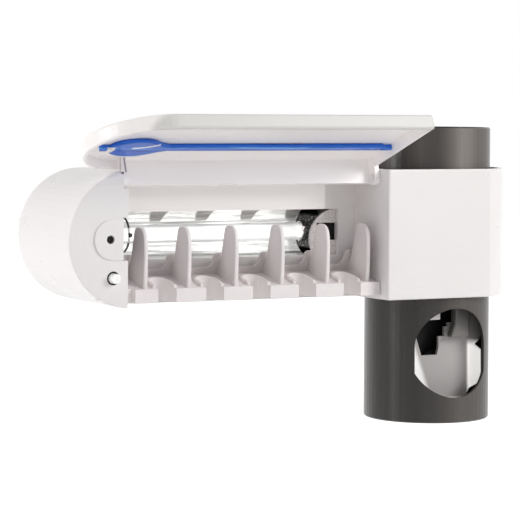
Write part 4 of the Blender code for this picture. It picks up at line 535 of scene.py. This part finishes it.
def glass_material():
    """The lamp's glass, bright along its middle in a painted highlight that also glows."""
    made = Shader("lamp_glass", (0.97, 0.98, 1.0), roughness=0.04, Transmission_Weight=0.55, IOR=1.47)
    bands = made.bands(made.waver(made.axis("Z"), LAMP_STRAY, LAMP_FLOW), LAMP_HIGHLIGHT_BANDS)
    bands = made.mottled(bands, LAMP_STRIPE_TINT, LAMP_STRIPES, amount=0.50, window=(0.50, 0.62))
    made.colour(bands)
    made.glow(bands, strength=0.40)
    made.roughness(LAMP_HAZE, low=0.02, high=0.09)
    return made.material


# Painted highlights: two light bands on the dark ring.
COLLAR_HIGHLIGHT_BANDS = ((-0.0085, 0.02), (-0.0033, 0.02), (-0.0031, 0.85), (-0.0007, 0.85), (-0.0005, 0.03),
                (0.0014, 0.03), (0.0016, 0.80), (0.0034, 0.80), (0.0036, 0.02), (0.0085, 0.02))
COLLAR_TINT = (1.0, 0.98, 0.96)
COLLAR_PITS = (500.0, 3.0)


def collar_material():
    """A dark ring with painted highlights in two places, where its polish catches the light."""
    made = Shader("dark_collar", (0.02, 0.02, 0.02), roughness=0.35)
    made.colour(made.bands(made.axis("Z"), COLLAR_HIGHLIGHT_BANDS, COLLAR_TINT))
    made.bump(COLLAR_PITS, distance=0.0001, strength=0.5)
    return made.material


CREASE_DETAIL = 5.0
CREASE_STRETCH = (1.0, 1.0, 1.4)
CREASE_ROUGHNESS = 0.7
CREASE_FINER = 1.7
CREASE_FINER_DETAIL = 4.0


def crinkled(name, light, dark, roughness, scale, window):
    """Creased foil or tape in its own tone, with painted light and shade for its creases: pale facets and
    dark folds.
    """
    made = Shader(name, light, roughness)
    folds = (scale, CREASE_DETAIL, CREASE_STRETCH, CREASE_ROUGHNESS)
    # Painted light and shade of the creases.
    made.colour(made.mottled(light, dark, folds, window=window))
    made.bump((scale * CREASE_FINER, CREASE_FINER_DETAIL), distance=0.0004, strength=0.8)
    return made.material


METAL_HAZE = (500.0, 3.0)
METAL_BRUSH = (1800.0, 3.0, (1.0, 6.0, 1.0))


def metal_material():
    """Bright metal, lightly brushed."""
    made = Shader("bright_metal", (0.72, 0.71, 0.70), roughness=0.25, metallic=1.0)
    made.roughness(METAL_HAZE, low=0.18, high=0.34)
    made.bump(METAL_BRUSH, distance=0.00002, strength=0.4)
    return made.material


BOARD_GREEN = (0.02, 0.14, 0.06)
BOARD_GREEN_PALE = (0.025, 0.18, 0.08)
BOARD_TRACK = (0.10, 0.30, 0.10)
BOARD_SOLDER = (700.0, 2.0)


def board_material():
    """A green board with paler tracks."""
    made = Shader("circuit_board", BOARD_GREEN, roughness=0.4)
    inputs = {"Vector": made.place, "Scale": 220.0, "Mortar Size": 0.03, "Color1": (*BOARD_GREEN, 1.0),
              "Color2": (*BOARD_GREEN_PALE, 1.0), "Mortar": (*BOARD_TRACK, 1.0)}
    made.colour(made.node("ShaderNodeTexBrick", inputs).outputs["Color"])
    made.bump(BOARD_SOLDER, distance=0.00003, strength=0.4)
    return made.material


# Finished materials

WHITE = moulded("white_moulding", WHITE_PLAIN, WHITE_PLAIN_DEEP, GLOSS_ROUGHNESS)
WHITE_SOFT = moulded("white_satin_moulding", WHITE_SATIN, WHITE_SATIN_DEEP, SATIN_ROUGHNESS, SATIN_GRAIN)
BLACK = moulded("black_moulding", BLACK_PLAIN, BLACK_PLAIN_DEEP, roughness=0.55, grain=1.5,
                Specular_IOR_Level=0.2)
RUBBER = moulded("pale_rubber", RUBBER_PALE, RUBBER_PALE_DEEP, roughness=0.68, grain=2.0)
TAPE = crinkled("creased_dark_tape", (0.62, 0.60, 0.59), (0.004, 0.003, 0.003), roughness=0.40,
                scale=700.0, window=(0.36, 0.46))
FOIL = crinkled("creased_white_foil", (0.92, 0.885, 0.875), (0.64, 0.60, 0.59), roughness=0.35,
                scale=1100.0, window=(0.44, 0.60))
COLLAR = collar_material()
METAL = metal_material()


def dress(material, *names):
    """Gives CAD nodes a finished material."""
    for name in names:
        mesh = NODES[name].data
        mesh.materials.clear()
        mesh.materials.append(material)


dress(housing_material(), "main_housing")
dress(WHITE, "back_cover", "wall_plate", "hinge_pin_left", "hinge_pin_right")
dress(lid_material(), "lid_shell")
dress(button_material(), "interlock_button")
dress(WHITE_SOFT, "squeezer_ledge")
dress(tray_material(), "comb_tray")
dress(FOIL, "lamp_shield")
dress(paddle_material(), "push_paddle")
dress(nozzle_material(), "nozzle_block")
dress(tube_material(), "dispenser_tube")
dress(TAPE, "lamp_socket_left", "lamp_socket_right")
# The lamp bracket is made black as painted shade for the cavity behind the lamp.
dress(BLACK, "squeezer_frame", "transformer", "capacitor_1", "capacitor_2", "micro_switch", "power_inlet",
      "boss_screw", "lamp_bracket")
dress(RUBBER, "paste_socket")
dress(lens_material(), "lid_lens")
dress(chrome_material(), "reflector")
dress(glass_material(), "uv_lamp_tube")
dress(board_material(), "circuit_board")
dress(METAL, "paddle_pin", "lamp_cap_left", "lamp_cap_right")
dress(METAL, *[f"cover_screw_{number}" for number in range(1, 6)])

# Small pieces

RING_STEPS = 48
COIL_STEPS = 24
WIRE_SIDES = 8
SPRING_RADIUS = 0.0024
SPRING_WIRE = 0.00022
SPRING_TURNS = 6
SPRING_Y = (-0.0569, -0.0483)
PUMP_CENTRE = (0.0815, -0.0640)
PUMP_Y = (-0.0469, -0.0413)
PUMP_PROFILE = ((PUMP_Y[0], 0.0001), (PUMP_Y[0], 0.0044), (-0.0460, 0.0053), (-0.0455, 0.0050),
                (-0.0446, 0.0063), (-0.0440, 0.0059), (-0.0430, 0.0074), (-0.0425, 0.0070),
                (PUMP_Y[1], 0.0080), (PUMP_Y[1], 0.0068), (-0.0430, 0.0058), (-0.0446, 0.0046),
                (-0.0461, 0.0034), (-0.0461, 0.0001))
BUTTON_CENTRE = (-0.0962, -0.0168)
BUTTON_GAP_RADII = (0.0023, 0.0030)
BUTTON_GAP_Y = (-0.0607, -0.0603)
LAMP_CENTRE = (-0.0250, 0.00025)
COLLAR_RADII = (0.0079, 0.0085)
COLLAR_X = (-0.0762, -0.0755)
LUG_HALF = 0.0009
LUG_DEPTH = 0.0010
LUG_FRONT_Y = LAMP_CENTRE[0] - COLLAR_RADII[1]
LUG_LOW = (COLLAR_X[0], LUG_FRONT_Y - LUG_DEPTH / 2, LAMP_CENTRE[1] - LUG_HALF)
LUG_HIGH = (COLLAR_X[1] + LUG_HALF, LUG_FRONT_Y + LUG_DEPTH / 2, LAMP_CENTRE[1] + LUG_HALF)
SLOT_SHADE_LOW = (0.0196, -0.0331, -0.0047)
SLOT_SHADE_HIGH = (0.0318, -0.0326, 0.0053)
SLOT_SHADE_EDGE = 0.0001


def finish_piece(name, made, material, body="housing"):
    """Turns a mesh under construction into a piece that rides on a body."""
    mesh = bpy.data.meshes.new(name)
    bmesh.ops.recalc_face_normals(made, faces=made.faces)
    made.to_mesh(mesh)
    made.free()
    mesh.materials.append(material)
    piece = bpy.data.objects.new(name, mesh)
    bpy.context.scene.collection.objects.link(piece)
    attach(piece, body)
    return piece


def join_loops(made, loops):
    """Faces between each two neighbouring loops of corners."""
    for loop, after in loops:
        for step, corner in enumerate(loop):
            further = (step + 1) % len(loop)
            made.faces.new((corner, loop[further], after[further], after[step]))


def make_turned(name, axis, centre, profile, material, body="housing"):
    """A closed profile of (place, radius) points turned round an X or Y axis."""
    made = bmesh.new()
    loops = []
    for place, radius in profile:
        loop = []
        for step in range(RING_STEPS):
            turn = 2 * math.pi * step / RING_STEPS
            first = centre[0] + radius * math.cos(turn)
            second = centre[1] + radius * math.sin(turn)
            corner = (place, first, second) if axis == "X" else (first, place, second)
            loop.append(made.verts.new(corner))
        loops.append(loop)
    join_loops(made, zip(loops, loops[1:] + loops[:1]))
    return finish_piece(name, made, material, body)


def flat_ring(radii, ends):
    """The profile of a flat ring."""
    return ((ends[0], radii[0]), (ends[0], radii[1]), (ends[1], radii[1]), (ends[1], radii[0]))


def make_coil(name, centre, radius, wire, ends, turns, material):
    """A wound spring along Y."""
    made = bmesh.new()
    rings = []
    count = turns * COIL_STEPS
    for step in range(count + 1):
        turn = 2 * math.pi * step / COIL_STEPS
        place = ends[0] + wire + (ends[1] - ends[0] - 2 * wire) * step / count
        ring = []
        for side in range(WIRE_SIDES):
            angle = 2 * math.pi * side / WIRE_SIDES
            out = radius + wire * math.cos(angle)
            across = centre[0] + out * math.cos(turn)
            height = centre[1] + out * math.sin(turn)
            ring.append(made.verts.new((across, place + wire * math.sin(angle), height)))
        rings.append(ring)
    join_loops(made, zip(rings, rings[1:]))
    made.faces.new(rings[0])
    made.faces.new(rings[-1])
    return finish_piece(name, made, material)


def make_slab(name, low, high, edge, material):
    """A small plate with its edges rounded off."""
    made = bmesh.new()
    size = [b - a for a, b in zip(low, high)]
    middle = [(a + b) / 2 for a, b in zip(low, high)]
    bmesh.ops.create_cube(made, size=1.0)
    bmesh.ops.scale(made, vec=size, verts=made.verts)
    bmesh.ops.translate(made, vec=middle, verts=made.verts)
    bmesh.ops.bevel(made, geom=made.edges[:], offset=edge, segments=2, affect="EDGES")
    return finish_piece(name, made, material)


# A dark ring of painted shade in the button's gap.
make_turned("button_gap_shade", "Y", BUTTON_CENTRE, flat_ring(BUTTON_GAP_RADII, BUTTON_GAP_Y), BLACK)
make_turned("lamp_collar", "X", LAMP_CENTRE, flat_ring(COLLAR_RADII, COLLAR_X), COLLAR)
make_slab("lamp_collar_lug", LUG_LOW, LUG_HIGH, LUG_DEPTH / 4, COLLAR)
# A dark sheet of painted shade behind the shield's slot.
make_slab("slot_shade", SLOT_SHADE_LOW, SLOT_SHADE_HIGH, SLOT_SHADE_EDGE, BLACK)

spring = make_coil("button_spring_coil", BUTTON_CENTRE, SPRING_RADIUS, SPRING_WIRE, SPRING_Y,
                   SPRING_TURNS, METAL)
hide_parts("button_spring")
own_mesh(spring)

pump = make_turned("pump_bellows", "Y", PUMP_CENTRE, PUMP_PROFILE, BLACK, "dispenser")
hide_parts("pump_diaphragm")
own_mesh(pump)

# Stage

PURE_WHITE = (1.0, 1.0, 1.0)
FLOOR_SIZE = 12.0
FLOOR_PLACE = (0.0, 0.0, -0.34)
FLOOR_TINT = (0.90, 0.90, 0.90)
FLOOR_GLOW = 0.85
WORLD_LEVEL = 0.35
LIGHTS = (
    ("key", (0.70, -0.96, 0.50), (0.03, -0.05, 0.0), (0.5, 0.5), 8.2),
    ("fill", (-0.45, -1.0, 0.12), (-0.03, -0.05, 0.0), (0.5, 0.5), 0.4),
    ("left", (-1.3, 0.14, 0.35), (-0.10, -0.03, 0.0), (0.5, 0.9), 9.0),
    ("right", (1.1, -0.35, 0.25), (0.06, -0.04, 0.0), (0.6, 1.1), 0.3),
)
CAMERA_PLACE = (-0.53066, -1.01355, 0.06075)
CAMERA_AZIMUTH = math.radians(28.0)
CAMERA_ROLL = math.radians(0.45)
SENSOR_WIDTH = 36.0
FOCAL_PIXELS = 2385.0
IMAGE_PIXELS = 520.0
HORIZON_PIXEL = 102.7


def seen_directly(tree):
    """One for what the camera, mirrors and glass see, nought for light on the object."""
    path = tree.nodes.new("ShaderNodeLightPath")
    seen = path.outputs["Is Camera Ray"]
    for ray in ("Is Glossy Ray", "Is Transmission Ray"):
        either = tree.nodes.new("ShaderNodeMath")
        either.operation = "MAXIMUM"
        tree.links.new(seen, either.inputs[0])
        tree.links.new(path.outputs[ray], either.inputs[1])
        seen = either.outputs[0]
    return seen


def make_floor():
    """A pale matt floor that shows as near white."""
    white = Shader("floor_white", FLOOR_TINT, roughness=0.9)
    white.lit(PURE_WHITE, white.product(seen_directly(white.tree), FLOOR_GLOW))
    bpy.ops.mesh.primitive_plane_add(size=FLOOR_SIZE, location=FLOOR_PLACE)
    floor = bpy.context.object
    floor.name = "floor"
    floor.data.materials.append(white.material)


def make_world():
    """A white studio that lights the object at a lower level than it shows."""
    world = bpy.data.worlds.new("studio")
    bpy.context.scene.world = world
    world.use_nodes = True
    tree = world.node_tree
    background = tree.nodes["Background"]
    background.inputs["Color"].default_value = (*PURE_WHITE, 1.0)
    level = tree.nodes.new("ShaderNodeMapRange")
    level.inputs["To Min"].default_value = WORLD_LEVEL
    level.inputs["To Max"].default_value = 1.0
    tree.links.new(seen_directly(tree), level.inputs["Value"])
    tree.links.new(level.outputs[0], background.inputs["Strength"])


def area_light(name, place, target, size, power):
    data = bpy.data.lights.new(name, "AREA")
    data.shape = "RECTANGLE"
    data.size, data.size_y = size
    data.energy = power
    lamp = bpy.data.objects.new(name, data)
    bpy.context.scene.collection.objects.link(lamp)
    lamp.location = place
    lamp.rotation_euler = (Vector(target) - Vector(place)).to_track_quat("-Z", "Y").to_euler()


def make_camera():
    """The photograph's own camera, worked out from the edges of the box."""
    data = bpy.data.cameras.new("camera")
    data.sensor_width = SENSOR_WIDTH
    data.lens = SENSOR_WIDTH * FOCAL_PIXELS / IMAGE_PIXELS
    data.shift_y = (HORIZON_PIXEL - IMAGE_PIXELS / 2) / IMAGE_PIXELS
    camera = bpy.data.objects.new("camera", data)
    bpy.context.scene.collection.objects.link(camera)
    forward = Vector((math.sin(CAMERA_AZIMUTH), math.cos(CAMERA_AZIMUTH), 0.0))
    right = Vector((forward.y, -forward.x, 0.0))
    up = Vector((0.0, 0.0, 1.0))
    across = right * math.cos(CAMERA_ROLL) + up * math.sin(CAMERA_ROLL)
    above = up * math.cos(CAMERA_ROLL) - right * math.sin(CAMERA_ROLL)
    turn = Matrix((across, above, -forward)).transposed().to_4x4()
    camera.matrix_world = Matrix.Translation(CAMERA_PLACE) @ turn
    bpy.context.scene.camera = camera


make_floor()
make_world()
for light in LIGHTS:
    area_light(*light)
make_camera()
bpy.context.scene.view_settings.view_transform = "Standard"
